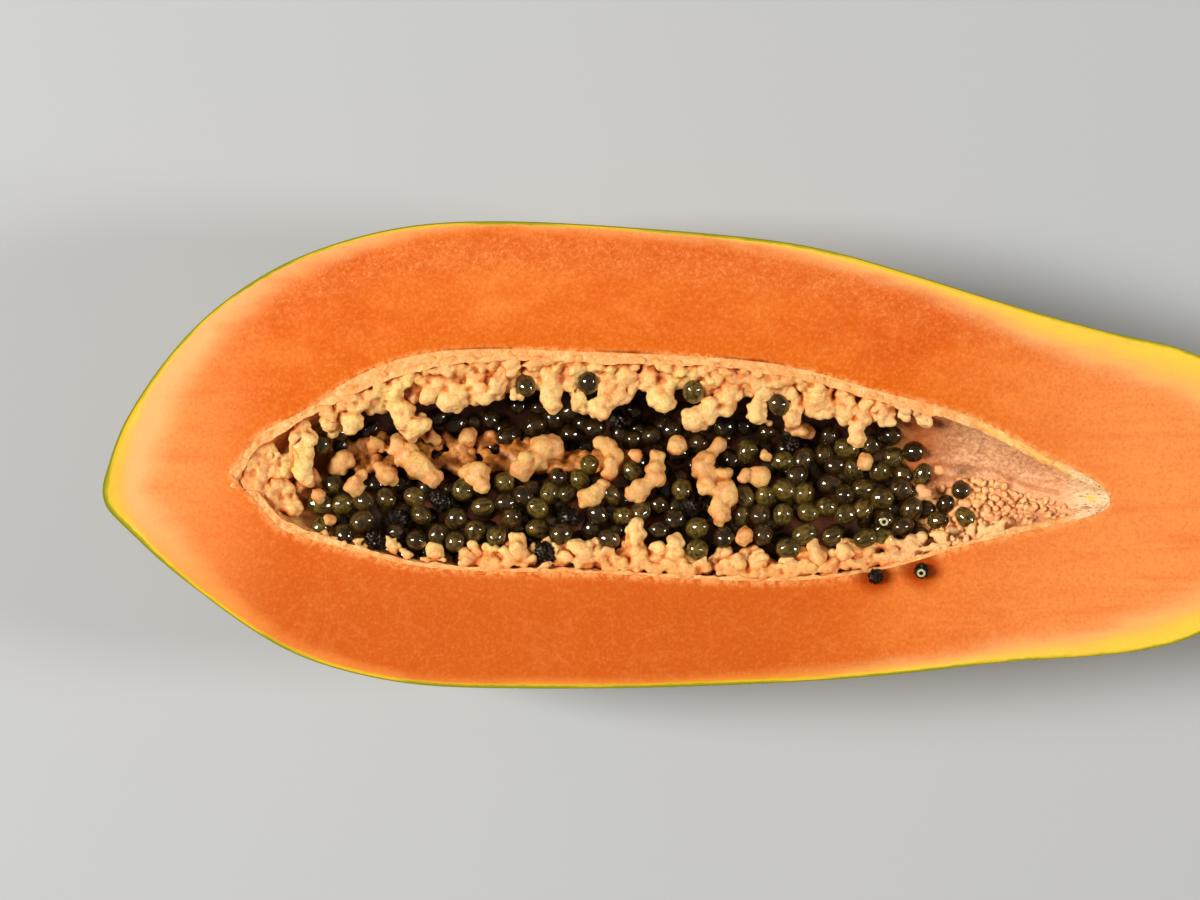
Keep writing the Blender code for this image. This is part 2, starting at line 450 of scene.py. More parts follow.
def lining_material():
    s = Shader("lining_pulp", roughness=0.5, specular=0.3)
    patch = s.noise(5 * MM, 4, 0.6)
    s.base = s.ramp(
        patch, (0.30, srgb(236, 150, 76)), (0.50, srgb(243, 172, 98)), (0.72, srgb(250, 198, 124))
    )
    grain = s.noise(0.9 * MM, 3, 0.7)
    s.tint(s.range(grain, 0.52, 0.32, 0.0, 0.45), (206, 112, 56))
    pits = s.noise(1.5 * MM, 3, 0.6, distortion=1.0)
    s.tint(s.range(pits, 0.58, 0.68, 0.0, 0.5), (208, 112, 50))
    s.tint(s.range(pits, 0.44, 0.34, 0.0, 0.6), (254, 210, 146))
    trough = s.ramp(
        grain, (0.34, srgb(196, 124, 76)), (0.50, srgb(222, 158, 108)), (0.66, srgb(240, 188, 140))
    )
    # Painted light: the trough's lower wall, which faces up, made lighter.
    trough = s.mix(s.range(s.zone("upward"), 0.3, 0.9, 0.0, 0.75), trough, srgb(242, 170, 112))
    trough = s.mix(s.zone("brownish", 0.97), trough, srgb(170, 84, 30))
    s.tint(s.zone("trough"), trough)
    # Painted shade: near-black deeper in the hollow.
    s.tint(s.zone("deep"), (56, 22, 8))
    # At the blossom end the painted deep shade is orange-brown instead of near-black.
    s.tint(s.zone("brown", 0.85), (228, 122, 46))
    marks = s.range(s.noise(1.0 * MM, 3, 0.7, stretch=(0.7, 2.2, 1), distortion=0.6), 0.56, 0.62)
    tip = s.zone("tip")
    s.tint(s.times(tip, 0.8), (246, 206, 156))
    s.tint(s.times(tip, marks, 0.85), (132, 84, 44))
    s.tint(s.zone("streak"), (252, 196, 92))
    # Painted shade along the trough's creases, over their shallow grooves.
    s.tint(s.zone("crease"), (176, 98, 54))
    s.colour(s.base)
    fine = s.bump(grain, 0.35 * MM, 0.6)
    s.normal(s.bump(pits, 0.5 * MM, 0.5, fine))
    s.glow(0.12, 2 * MM)
    return s.material


def pulp_material():
    s = Shader("pulp_lumps", roughness=0.42, specular=0.25)
    patch = s.noise(4.5 * MM, 3, 0.6, distortion=0.5)
    s.base = s.ramp(
        patch, (0.30, srgb(216, 122, 50)), (0.46, srgb(234, 156, 80)), (0.62, srgb(246, 190, 114))
    )
    spot = s.range(s.noise(7 * MM, 3, 0.5, distortion=0.4), 0.49, 0.60)
    s.tint(s.times(spot, 0.75), (250, 208, 112))
    rosy = s.range(s.noise(5.5 * MM, 2, 0.5, stretch=(1.1, 0.9, 1)), 0.46, 0.36)
    s.tint(s.times(rosy, 0.4), (244, 174, 114))
    # Painted light: lighter where the surface faces up.
    s.tint(s.zone("crown", 0.30), (252, 212, 138))
    s.tint(s.zone("root", 0.6), (236, 142, 66))
    s.tint(s.zone("blush", 0.8), (246, 188, 132))
    # Painted shade in the folds between lobes.
    fold = s.zone("fold")
    s.tint(s.range(fold, 0.51, 0.70, 0.0, 0.95), (196, 90, 26))
    sunk = s.zone("sunk")
    # Painted light on parts that stand above the blurred heights around them.
    s.tint(s.range(sunk, -0.3, -1.8, 0.0, 0.35), (252, 214, 140))
    # Painted shade where parts lie below the blurred heights: orange, then brown deeper down.
    s.tint(s.range(sunk, -0.1, 0.7, 0.0, 0.80), (222, 124, 52))
    s.tint(s.range(sunk, 0.6, 1.9, 0.0, 0.90), (134, 62, 20))
    s.tint(s.zone("shade", 0.88), (124, 62, 20))
    grain = s.noise(0.7 * MM, 3, 0.7)
    s.tint(s.range(grain, 0.52, 0.32, 0.0, 0.45), (206, 112, 46))
    s.colour(s.base)
    coarse = s.bump(s.noise(1.6 * MM, 3, 0.65), 0.6 * MM, 0.7)
    s.normal(s.bump(grain, 0.30 * MM, 0.8, coarse))
    s.coat(0.10, 0.3)
    s.glow(0.12, 1.6 * MM)
    return s.material


def tissue_material():
    s = Shader("pulp_tissue", roughness=0.35, specular=0.3)
    patch = s.noise(4 * MM, 4, 0.65, stretch=(0.5, 1, 1))
    s.base = s.ramp(
        patch, (0.34, srgb(146, 80, 24)), (0.50, srgb(194, 118, 44)), (0.68, srgb(228, 160, 80))
    )
    # Painted shade in the tissue's folds.
    s.tint(s.range(s.zone("fold"), 0.52, 0.74, 0.0, 0.9), (108, 50, 14))
    grain = s.noise(0.7 * MM, 3, 0.7)
    s.tint(s.range(grain, 0.52, 0.32, 0.0, 0.45), (104, 46, 14))
    s.colour(s.base)
    s.normal(s.bump(grain, 0.35 * MM, 0.8))
    s.coat(0.15, 0.25)
    return s.material


def gel_material():
    s = Shader("seed_gel", roughness=0.03, specular=0.5)
    s.colour((0.84, 0.64, 0.28))
    s.main.inputs["Transmission Weight"].default_value = 1.0
    s.main.inputs["IOR"].default_value = 1.42
    s.coat(0.7, 0.02)
    uneven = s.bump(s.noise(1.6 * MM, 2, 0.5), 0.20 * MM, 0.7)
    s.normal(uneven)
    s.link(uneven, s.main.inputs["Coat Normal"])
    return s.material


def seed_core_material():
    s = Shader("seed_inner", roughness=0.4, specular=0.1)
    tone = s.noise(2.2 * MM, 3)
    s.base = s.ramp(tone, (0.35, srgb(56, 42, 16)), (0.65, srgb(118, 94, 44)))
    # Low tone is darker: partly the seeds' own random tone, partly the painted shade that make_seeds puts
    # into tone.
    s.tint(s.range(s.zone("tone"), 0.0, 0.8, 0.85, 0.0), (30, 17, 6))
    s.tint(s.range(s.zone("tone"), 0.40, 1.0, 0.0, 0.6), (114, 104, 44))
    # Painted shade in the grooves of the inner seed.
    s.tint(s.range(s.zone("groove"), 0.30, 0.85, 0.0, 0.95), (18, 11, 5))
    s.colour(s.base)
    return s.material


def bare_seed_material():
    s = Shader("seed_bare", roughness=0.05, specular=0.30)
    tone = s.noise(2.0 * MM, 3)
    s.colour(s.ramp(tone, (0.3, (0.002, 0.0015, 0.001)), (0.7, (0.010, 0.006, 0.004))))
    s.main.inputs["Specular Tint"].default_value = (1.0, 0.78, 0.55, 1)
    s.normal(s.bump(s.noise(0.7 * MM, 2, 0.5), 0.20 * MM, 0.8))
    return s.material


def ring_material():
    s = Shader("seed_navel", roughness=0.4, specular=0.4)
    s.colour(s.ramp(s.noise(0.5 * MM, 2), (0.3, srgb(150, 132, 84)), (0.7, srgb(232, 220, 168))))
    return s.material


def core_material():
    s = Shader("heap_core", roughness=0.6, specular=0.15)
    tone = s.noise(9 * MM, 4)
    # Dark brown: partly the pulp's own colour, partly painted shade of the gaps between seeds.
    s.base = s.ramp(tone, (0.40, srgb(34, 16, 7)), (0.62, srgb(84, 38, 14)))
    s.colour(s.base)
    s.normal(s.bump(s.noise(1.5 * MM, 3), 0.5 * MM, 0.5))
    return s.material


def floor_material():
    s = Shader("floor_pale", roughness=0.9, specular=0.04)
    s.colour((0.46, 0.46, 0.45))
    return s.material


# ---------------------------------------------------------------- flesh and skin

SKIN_COLUMNS = 65
FACE_STEPS = 36
CAVITY_COLUMNS = 21

# Zones of the cut face at shares of the fruit's length from the blossom end,
# in millimetres in from the skin: the yellow zone, then the pale one.
UPPER_YELLOW = ((0, 8), (0.04, 2.6), (0.08, 1.2), (0.19, 0.6), (0.5, 1.0), (0.585, 2.4), (0.7, 3.0),
                (0.753, 5), (0.836, 8), (0.92, 11), (1, 11))
LOWER_YELLOW = (
    (0, 8), (0.03, 4), (0.06, 2.2), (0.12, 1.4), (0.25, 1.4), (0.5, 1.7), (0.7, 2.6), (0.8, 5),
    (0.88, 8), (0.95, 10), (1, 11),
)
UPPER_PALE = ((0, 30), (0.04, 18), (0.08, 13), (0.19, 7), (0.3, 3), (0.5, 4), (0.7, 6), (0.8, 9), (1, 12))
LOWER_PALE = ((0, 30), (0.05, 14), (0.12, 6), (0.25, 3), (0.5, 3), (0.7, 5), (0.85, 9), (1, 12))

# How strong the pale zone is, and the width of the green line at the skin
PALE_SHARE = ((0, 1), (0.06, 0.95), (0.16, 0.55), (0.5, 0.45), (0.8, 0.55), (1, 0.8))
EDGE_WIDTH = ((0, 3.0), (0.02, 2.4), (0.06, 1.5), (0.15, 1.9), (1, 1.6))

# Brown flecks on the skin at the upper rim: x and half the width, in millimetres
RIM_FLECKS = ((3.6, 1.0), (19.5, 2.8))

# Thin splits between flesh and lining on the upper rim, from X to X. Their dark is painted shade.
CRACKS = ((-69, -47), (-28, -9), (4, 26))

# Seeds stuck to the cut face below the hollow
STUCK_SEEDS = ((48.7, -32.8), (61.1, -31.4))


def table(points, along):
    places, values = zip(*points)
    return np.interp(along, places, values)


def rim_loop(grid):
    """The rim at the face: out along +Y, back along -Y, each end once."""
    return np.concatenate((grid[:, 0], grid[-2:0:-1, -1]))


def pointed(grid):
    """Draws the hollow's blossom end out to a point."""
    point_y = -4.6 * MM
    share = np.exp(-((grid[..., 1] - point_y) / (2.0 * MM)) ** 2)
    near_end = smooth_step(-0.114, -0.119, grid[..., 0])
    share *= near_end * smooth_step(FACE - 5 * MM, FACE - 1 * MM, grid[..., 2])
    result = grid.copy()
    result[..., 0] -= 2.4 * MM * share
    return result


def hollow_grid(columns, column_blur):
    """The wall of the hollow in the flesh."""
    grid = wall_grid(hollow_low.x - 0.3 * MM, hollow_high.x + 0.3 * MM, HOLLOW_AXIS_Y, 3.5 * MM,
                     columns, inward=False)
    return pointed(smooth_grid(grid, column_blur))


def along_fruit(x):
    return (x - fruit_low.x) / (fruit_high.x - fruit_low.x)


def face_zones(points, skin_distance, hollow_distance):
    """Values from 0 to 1 that say where each tint of the cut flesh shows."""
    along = along_fruit(points[:, 0])
    upper = smooth_step(-0.02, 0.01, points[:, 1] - FRUIT_AXIS_Y)
    yellow_width = table(LOWER_YELLOW, along) * (1 - upper) + table(UPPER_YELLOW, along) * upper
    pale_width = table(LOWER_PALE, along) * (1 - upper) + table(UPPER_PALE, along) * upper
    pale_share = table(PALE_SHARE, along)
    depth = skin_distance / MM
    zones = {
        "yellow": smooth_step(1.40, 0.0, depth / yellow_width),
        "pale": smooth_step(1.0, 0.0, (depth - 0.6 * yellow_width) / pale_width) * pale_share,
        "edge": smooth_step(1.0, 0.0, depth / table(EDGE_WIDTH, along)),
        "end_tip": smooth_step(0.030, 0.006, along),
        "inner": smooth_step(9, 2, hollow_distance / MM) * upper,
        "fringe": smooth_step(2.6 - 1.0 * upper, 0.1, hollow_distance / MM),
        # low_side: partly the flesh's redder colour, partly painted shade, darker towards the bottom.
        "low_side": smooth_step(-0.004, -0.045, points[:, 1]) * smooth_step(0.74, 0.54, along),
        "light_side": smooth_step(0.16, 0.04, along) + smooth_step(0.70 - 0.10 * (1 - upper), 0.90, along),
        "streaky": smooth_step(0.72, 0.90, along) + 0.8 * smooth_step(0.16, 0.06, along),
    }
    band = smooth_step(2.5, 5, depth) * smooth_step(17, 10, depth)
    top_band = band * upper * smooth_step(0.06, 0.20, along) * (1 - 0.55 * smooth_step(0.55, 0.9, along))
    low_band = (1 - upper) * smooth_step(0.1, 0.2, along) * smooth_step(0.75, 0.6, along)
    zones["speckled"] = np.maximum(top_band, 0.12 * low_band)
    wet = np.zeros(len(points))
    for x, y in STUCK_SEEDS:
        reach = np.hypot(points[:, 0] - x * MM, points[:, 1] - (y + 0.6) * MM)
        wet = np.maximum(wet, smooth_step(7.6 * MM, 2.6 * MM, reach))
    zones["wet"] = wet
    crack = np.zeros(len(points))
    for low, high in CRACKS:
        span = smooth_step(low, low + 4, points[:, 0] / MM) * smooth_step(high, high - 4, points[:, 0] / MM)
        crack = np.maximum(crack, span)
    thin = np.array([0.62 + 0.60 * fbm((p[0], 0, 0), 5 * MM, 2) for p in points])
    crack *= smooth_step(0.34 * MM, 0.12 * MM, abs(hollow_distance - 0.40 * MM)) * (points[:, 1] > 0)
    zones["crack"] = crack * np.clip(thin * 1.2, 0, 1)
    return zones


def distances_to(loop, points):
    tree = point_tree(loop)
    return np.array([tree.find(Vector(point))[2] for point in points])


def make_flesh():
    skin = wall_grid(fruit_low.x, fruit_high.x, FRUIT_AXIS_Y, 24 * MM, SKIN_COLUMNS, inward=True)
    skin = smooth_grid(skin, 1.5)
    cavity = hollow_grid(CAVITY_COLUMNS, 1.0)
    outer = rim_loop(skin)
    inner = rim_loop(cavity)

    # The face's rows run from the hollow to the skin, closer together at both
    shares = 0.5 - 0.5 * np.cos(np.linspace(0, math.pi, FACE_STEPS))
    face = inner[None] * (1 - shares[:, None, None]) + outer[None] * shares[:, None, None]
    face = face.reshape(-1, 3)
    verts = np.concatenate((face, skin.reshape(-1, 3), cavity.reshape(-1, 3)))
    skin_start = len(face)
    cavity_start = skin_start + ROWS * SKIN_COLUMNS
    cut_faces = loop_faces(FACE_STEPS, len(outer))
    skin_faces = grid_faces(ROWS, SKIN_COLUMNS, skin_start, flip=True)
    wall_faces = grid_faces(ROWS, CAVITY_COLUMNS, cavity_start)
    kinds = [1] * len(cut_faces) + [0] * len(skin_faces) + [1] * len(wall_faces)

    skin_distance = np.full(len(verts), 20 * MM)
    skin_distance[:skin_start] = distances_to(outer, face)
    skin_distance[skin_start:cavity_start] = 0
    hollow_distance = np.zeros(len(verts))
    hollow_distance[:skin_start] = distances_to(inner, face)
    zones = face_zones(verts, skin_distance, hollow_distance)

    # Relief of the cut: gentle waves that die out at the skin, and the splits
    for k in range(skin_start):
        wave = 0.20 * fbm(verts[k], 13 * MM, 3)
        verts[k, 2] += wave * MM * min(1.0, skin_distance[k] / (3 * MM))
        verts[k, 2] -= 0.45 * MM * zones["crack"][k]

    # The stem scar: a shallow dish with a raised edge
    along = along_fruit(verts[:, 0])
    off_axis = np.hypot(verts[:, 1] - FRUIT_AXIS_Y, verts[:, 2] - FACE)
    point_number = np.arange(len(verts))
    stem_end = (along > 0.9) * (point_number >= skin_start) * (point_number < cavity_start)
    dish = smooth_step(7.5 * MM, 5.5 * MM, off_axis)
    edge = smooth_step(5.5 * MM, 7.5 * MM, off_axis) * smooth_step(10.5 * MM, 8.0 * MM, off_axis)
    below_face = smooth_step(FACE, FACE - 1.5 * MM, verts[:, 2])
    verts[:, 0] += (0.5 * edge - 0.9 * dish) * MM * stem_end * below_face

    piece = new_piece("papaya_half_flesh", verts, cut_faces + skin_faces + wall_faces, FLESH)
    mesh = piece.data
    mesh.materials.append(skin_material())
    mesh.materials.append(flesh_material())
    mesh.polygons.foreach_set("material_index", kinds)
    ripe = 0.55 * smooth_step(0.25, 0.0, along) + 0.25 * smooth_step(FACE - 0.02, FACE, verts[:, 2])
    scar = smooth_step(8.5 * MM, 6.5 * MM, off_axis) * (along > 0.9)
    at_rim = (verts[:, 1] > 0.03) * smooth_step(FACE - 0.004, FACE - 0.002, verts[:, 2])
    for x, half in RIM_FLECKS:
        fleck = smooth_step(half * MM, half * 0.6 * MM, abs(verts[:, 0] - x * MM))
        scar = np.maximum(scar, fleck * at_rim)
    paint(mesh, **zones, ripe=ripe, scar=scar)
    weld(mesh)
    return cavity


# ---------------------------------------------------------------- lining

LINING_COLUMNS = 97
BAND_STEPS = 16

# The pale band at the face, in millimetres, at shares of the hollow's length
UPPER_BAND = (
    (0, 3.6), (0.03, 3.2), (0.07, 2.2), (0.1, 3.4), (0.15, 4.8), (0.2, 4.4), (0.3, 3.2), (0.5, 2.6),
    (0.7, 2.8), (0.85, 3), (0.95, 2.5), (1, 1.5),
)
LOWER_BAND = (
    (0, 3.4), (0.04, 2.8), (0.1, 1.4), (0.2, 1.1), (0.4, 1.1), (0.7, 1.0), (0.85, 1.3), (0.95, 2.0),
    (1, 1.5),
)

# Creases that run along the trough at the stem side, as (x, y) points
CREASES = (
    ((64, -3.2), (72, -3.6), (82, -4.4), (90, -8.4), (99, -10.6)), ((60, -6.8), (68, -6.6), (77, -7.6)),
)


def near_line(points, line):
    """Distance in the plane of the face from each point to a bent line."""
    best = np.full(len(points), 1.0)
    for start, end in zip(line, line[1:]):
        a = np.array(start) * MM
        way = np.array(end) * MM - a
        share = np.clip(((points[:, :2] - a) @ way) / (way @ way), 0, 1)
        gap = points[:, :2] - a - share[:, None] * way
        best = np.minimum(best, np.hypot(gap[:, 0], gap[:, 1]))
    return best


def lining_inside(wall, upper, lower):
    """The lining's inner surface: the wall moved in by an uneven thickness."""
    rows, columns = wall.shape[:2]
    side = 0.5 + 0.5 * np.cos(np.linspace(0, math.pi, columns))
    inside = np.zeros_like(wall)
    for i in range(rows):
        for j in range(columns):
            point = Vector(wall[i, j])
            inward = Vector((point.x, HOLLOW_AXIS_Y, FACE)) - point
            reach = inward.length
            if reach > 1e-6:
                inward /= reach
            thick = lower[i] + (upper[i] - lower[i]) * side[j]
            lumps = 0.7 * fbm(point, 6 * MM, 3) + 0.35 * fbm(point, 1.6 * MM, 2)
            thick += lumps * MM * min(1, reach / (8 * MM))
            thick = max(0.4 * MM, min(thick, reach * 0.85))
            inside[i, j] = point + inward * thick
    inside[:, 0, 2] = FACE
    inside[:, -1, 2] = FACE
    return inside


def make_lining(cavity):
    wall = hollow_grid(LINING_COLUMNS, 3.0)
    wall[:, 0] = cavity[:, 0]
    wall[:, -1] = cavity[:, -1]
    along = np.clip((wall[:, 0, 0] - hollow_low.x) / (hollow_high.x - hollow_low.x), 0, 1)
    inside = lining_inside(wall, table(UPPER_BAND, along) * MM, table(LOWER_BAND, along) * MM)

    outer = rim_loop(wall)
    rim = rim_loop(inside)
    loop = len(outer)
    away = outer - np.array((0, HOLLOW_AXIS_Y, 0))
    away[:, (0, 2)] = 0
    away /= np.maximum(np.linalg.norm(away, axis=1, keepdims=True), 1e-6)
    tucked = outer + away * 0.4 * MM - np.array((0, 0, 1.6 * MM))
    shares = np.linspace(0, 1, BAND_STEPS)
    band = outer[None] * (1 - shares[:, None, None]) + rim[None] * shares[:, None, None]
    band = np.concatenate((tucked[None], band))
    for r in range(1, BAND_STEPS + 1):
        share = shares[r - 1]
        for k in range(loop):
            wrinkle = abs(noise.noise(Vector(band[r, k]) / (1.6 * MM)))
            lift = 0.7 * fbm(band[r, k], 3.0 * MM, 3) + 0.9 * wrinkle - 0.5
            band[r, k, 2] += lift * MM * math.sin(math.pi * share) - 0.04 * MM
    band_count = (BAND_STEPS + 1) * loop
    back_start = band_count + ROWS * LINING_COLUMNS
    back = wall[:, ::8]
    verts = np.concatenate((band.reshape(-1, 3), inside.reshape(-1, 3), back.reshape(-1, 3)))
    faces = loop_faces(BAND_STEPS + 1, loop, flip=True)
    faces += grid_faces(ROWS, LINING_COLUMNS, band_count)
    faces += grid_faces(ROWS, back.shape[1], back_start, flip=True)

    # Creases in the trough
    crease = np.zeros(len(verts))
    for line in CREASES:
        crease = np.maximum(crease, smooth_step(1.1 * MM, 0.1 * MM, near_line(verts, line)))
    crease[:band_count] = 0
    crease[back_start:] = 0
    verts[:, 2] -= 0.5 * MM * crease

    piece = new_piece("papaya_hollow_lining", verts, faces, LINING)
    mesh = piece.data
    mesh.materials.append(lining_material())
    x, y = verts[:, 0], verts[:, 1]
    depth = FACE - verts[:, 2]
    trough = smooth_step(0.050, 0.062, x) * smooth_step(0.6 * MM, 2.5 * MM, depth)
    # Mask of the painted shade deep in the hollow, away from the trough.
    deep = smooth_step(0.003, 0.013, depth) * (1 - trough)
    low_end = smooth_step(-0.010, -0.013, y) * smooth_step(-0.1155, -0.1125, x)
    upper_rim = np.interp(x, wall[:, 0, 0], wall[:, 0, 1])
    streak = smooth_step(0.8 * MM, 0.3 * MM, abs(upper_rim - y - 1.3 * MM))
    streak *= smooth_step(0.072, 0.084, x) * smooth_step(0.102, 0.096, x) * (depth < 1.5 * MM)
    fleck = smooth_step(1.2 * MM, 0.6 * MM, np.hypot((x - 0.1075) * 0.6, y + 0.0118))
    paint(
        mesh,
        trough=trough,
        # Painted light on the trough's lower wall.
        upward=smooth_step(0.002, -0.016, y),
        brownish=smooth_step(0.078, 0.060, x),
        deep=deep * np.maximum(smooth_step(-0.112, -0.102, x), low_end),
        brown=deep * smooth_step(-0.096, -0.108, x),
        tip=smooth_step(0.098, 0.106, x),
        streak=np.maximum(streak, fleck) * 0.8,
        crease=crease * 0.5,
    )
    weld(mesh)
    corners = [Vector(p) for p in inside.reshape(-1, 3)]
    return BVHTree.FromPolygons(corners, grid_faces(ROWS, LINING_COLUMNS)), wall


# ---------------------------------------------------------------- pulp lumps

# Lumps of pulp, in millimetres: from (x, y) to (x, y), and width. The first
# group hangs from the upper rim, the second lies among the seeds, and the
# third stands along the lower rim.
RIM_LUMPS = (
    (-97, 15, -99.5, 9, 6.2), (-95, 14, -92.5, 8.5, 6), (-92, 18, -87, 13.5, 6.5),
    (-82.5, 17, -76.5, 7.5, 7.4), (-66, 25, -66, 15, 8.8), (-60.5, 24, -57.8, 16, 7),
    (-69, 20, -72.5, 16.5, 5.2), (-51, 25, -54, 18.5, 5.8), (-57, 26, -58, 22, 5.5),
    (-45, 26, -44.5, 22.5, 5.4), (-106.6, 9, -105.8, -7, 5.2), (-116.4, 3.2, -115, -0.6, 3.8),
    (-106.4, 4, -106, -4, 5.6), (-112.8, -8.2, -111.2, -9.2, 5), (-114.6, -11.6, -109.6, -14.2, 5.8),
    (-39.5, 25, -39.3, 14.5, 6.8), (-34, 25.5, -34.5, 20, 6.2), (-28, 26, -28, 22.5, 5),
    (-22, 20, -25.5, 13, 6.6), (-19, 25, -20, 15, 6.8), (-24, 25, -24, 21, 5.4), (-6, 25, -9, 14, 7.2),
    (-12.5, 25, -12.5, 20.5, 6), (0.8, 25, 0.8, 21, 5), (5, 14, 1, 10, 7.2), (10.5, 22, 8, 12.5, 7.2),
    (15, 24, 14.5, 20, 6), (18, 22, 20, 11, 8), (17.5, 14, 16.5, 10, 5.5), (26, 16, 27.5, 10.5, 5.6),
    (24, 23, 25, 19.5, 5.4), (32, 21, 35, 14.5, 7.6), (40, 19, 41.5, 12.5, 6.6), (46, 13, 44.6, 5, 5.6),
    (51, 13, 50.8, 9.5, 3.4), (46.5, 17.5, 47.5, 14.5, 4), (60, 11.5, 62.5, 8.5, 3.4),
    (56, 12.5, 57, 10, 3), (-31, 17, -30.5, 13, 4.6), (-77, 23, -74, 20.5, 5), (-86, 20, -84, 17, 5),
    (-47, 19, -47.5, 16, 4.4), (7, 24, 5.5, 21, 5),
)
LOOSE_LUMPS = (
    (-81, 2, -78.5, -0.5, 7.6), (-77, -1.5, -75.5, -4, 7.2), (-84.5, -4.5, -84, -5.5, 6),
    (-71.8, -5.3, -71, -6.5, 5.8), (-61.8, 6, -61.8, 5.4, 5.8), (-61, -4, -59.5, -5, 7.4),
    (-58, -8.5, -57.5, -8.5, 4.8), (-47.5, -4, -40, 1, 8.4), (-91, -6.5, -92, -9, 5.8),
    (-96, -1, -97, -3.5, 6), (-85.5, 3, -87, 2.5, 5), (-99.3, -17.5, -99, -18, 3.4),
    (-102.5, -10.5, -102, -11, 4.2), (-104, -5, -104, -6.5, 4.6), (-107.4, -8.4, -107, -9, 4),
    (-73, 6.5, -71.5, 4.5, 5), (-26, 2.8, -21.5, 0, 5.2), (-21, -1, -22.5, -4.5, 5.2),
    (-25.5, -9, -28, -12, 6.4), (-10.5, -1, -9.8, -5.5, 5.6), (-11, -7, -15.5, -10, 6.2),
    (-3.5, 3.3, -5, 1.8, 5.2), (6, 1.5, 2.5, -3, 6), (2.3, -4, 4, -8, 5.6), (7.8, -6, 8.6, -11.5, 6.6),
    (8, -12, 6.5, -16.5, 6), (14.5, -6.2, 18.5, -5.4, 5.6), (27, 7.5, 31.5, 6, 4.6),
    (19.5, 0, 19.5, -0.6, 3.8), (47.5, -0.5, 47.3, -2.5, 4.6), (66, -3.6, 67, -5, 3.6),
    (62.5, -9.5, 63, -10.5, 3.8), (-17, 0, -15, -0.5, 3.6), (13.3, -21, 13.5, -22, 4.2),
)
LOWER_LUMPS = (
    (-71, -22, -70, -27.5, 5.2), (-82.5, -23, -81.5, -25, 3.8), (-47.6, -22.5, -48.5, -27, 5.2),
    (-15.3, -19.5, -15.5, -23, 5.6), (-33, -23.5, -30, -27.5, 6), (-27, -24.5, -25, -28.5, 5.6),
    (-16, -25, -15, -29, 6.6), (-10, -25, -10.5, -28.5, 5.6), (-5, -22.5, -6, -27.5, 5),
    (-1, -28, 0, -30, 4.5), (9, -27, 11.5, -30, 4.8), (17, -27.5, 17, -30, 4.8),
    (32.5, -25.5, 33, -28.5, 5), (-46, -25.5, -46, -28, 4.4), (54, -26, 53, -28.5, 3.8),
    (58, -24.5, 59, -27.5, 4), (66, -21.5, 67.5, -25, 4.4), (40, -23.5, 41, -27, 4.4),
    (-38, -24.5, -38, -28, 4), (24, -29, 26, -30, 4), (75, -20, 76, -22.5, 3.6),
    (-60, -24.5, -59, -27, 3.8),
)

# Crumbly pulp along the rim: from X to X, side (1 upper, -1 lower), from and
# to in from the rim, ball radius from and to, balls for each millimetre, depth
# of the middle at the near edge, and how fast it drops away inward.
CRUST = (
    (-113, -70, 1, 0.9, 7.6, 0.7, 1.9, 5.6, 0.3, 0.22),
    (-70, 30, 1, 0.7, 4.6, 0.6, 1.8, 4.4, 0.3, 0.35), (30, 64, 1, 0.6, 4.4, 0.5, 1.4, 5.0, 0.3, 0.42),
    (-110, 54, 1, 1.8, 8.5, 1.3, 2.1, 4.2, 2.3, 0.42),
    (-114, -62, -1, 0.6, 2.6, 0.5, 1.0, 3.4, 0.6, 0.5),
    (-62, 32, -1, 0.3, 4.8, 0.6, 1.6, 7.0, 0.4, 0.2), (32, 84, -1, 0.3, 3.4, 0.5, 1.2, 6.0, 0.4, 0.2),
    (-64, 62, -1, 0.8, 6.0, 1.3, 2.1, 3.2, 2.0, 0.45),
)
# Places that stay free of crumbs, the first at the blossom end and the others
# along the upper rim: x, y and half the size each way, in millimetres
HOLES = (
    (-111.4, 4.8, 2.4, 3.9), (-103.0, 9.6, 3.2, 3.0), (-88.6, 9.6, 2.6, 2.4), (-73.5, 14.5, 2.4, 2.6),
    (-54.3, 19.5, 1.8, 3.0), (-35.2, 20.5, 2.0, 3.4), (-12.8, 21.8, 3.6, 2.8), (27.2, 17.2, 2.4, 3.0),
    (45.5, 14.0, 3.0, 2.4),
)
# Brown tissue between the two banks of seeds: x, middle y and half its width
TISSUE = (
    (-100, -1, 3.0), (-88, 0, 4.5), (-75, 0, 5.5), (-62, 0.5, 5.0), (-48, 0, 4.0), (-36, -1.5, 2.5),
    (-18, -2, 2.0),
)
# Upper edge of the carpet of grains in the trough
CARPET_EDGE = ((58, -12), (66, -9.0), (72, -7.4), (77, -6.4), (83, -6.6), (90, -11.2), (99, -14.0))


def ball(x, y, z, radius):
    """A ball of pulp, with x, y and radius in millimetres and z in metres."""
    return Vector((x * MM, y * MM, z)), radius * MM


def lump_blobs(rng, start, end, width):
    """Balls along the way from start to end, with smaller ones on their sides."""
    blobs = []
    start, end = Vector(start), Vector(end)
    count = max(2, round((end - start).length / (width * 0.34)) + 1)
    for k in range(count):
        share = k / (count - 1)
        radius = width / 2 * rng.uniform(0.74, 0.96) * (0.78 + 0.22 * share)
        sway = Vector([rng.uniform(-1, 1) for _ in range(3)]) * width * 0.12
        centre = start.lerp(end, share) + sway
        blobs.append((centre, radius))
        for _ in range(rng.choice((4, 5, 6))):
            way = Vector((rng.uniform(-1, 1), rng.uniform(-1, 1), rng.uniform(-0.6, 0.35))).normalized()
            bud = centre + way * radius * rng.uniform(0.62, 0.86)
            blobs.append((bud, radius * rng.uniform(0.36, 0.70)))
    for _ in range(5):
        turn = rng.uniform(0, math.tau)
        way = Vector((math.cos(turn), math.sin(turn), rng.uniform(-0.6, 0.1))).normalized()
        blobs.append((centre + way * radius * 0.92, radius * rng.uniform(0.28, 0.42)))
    return blobs


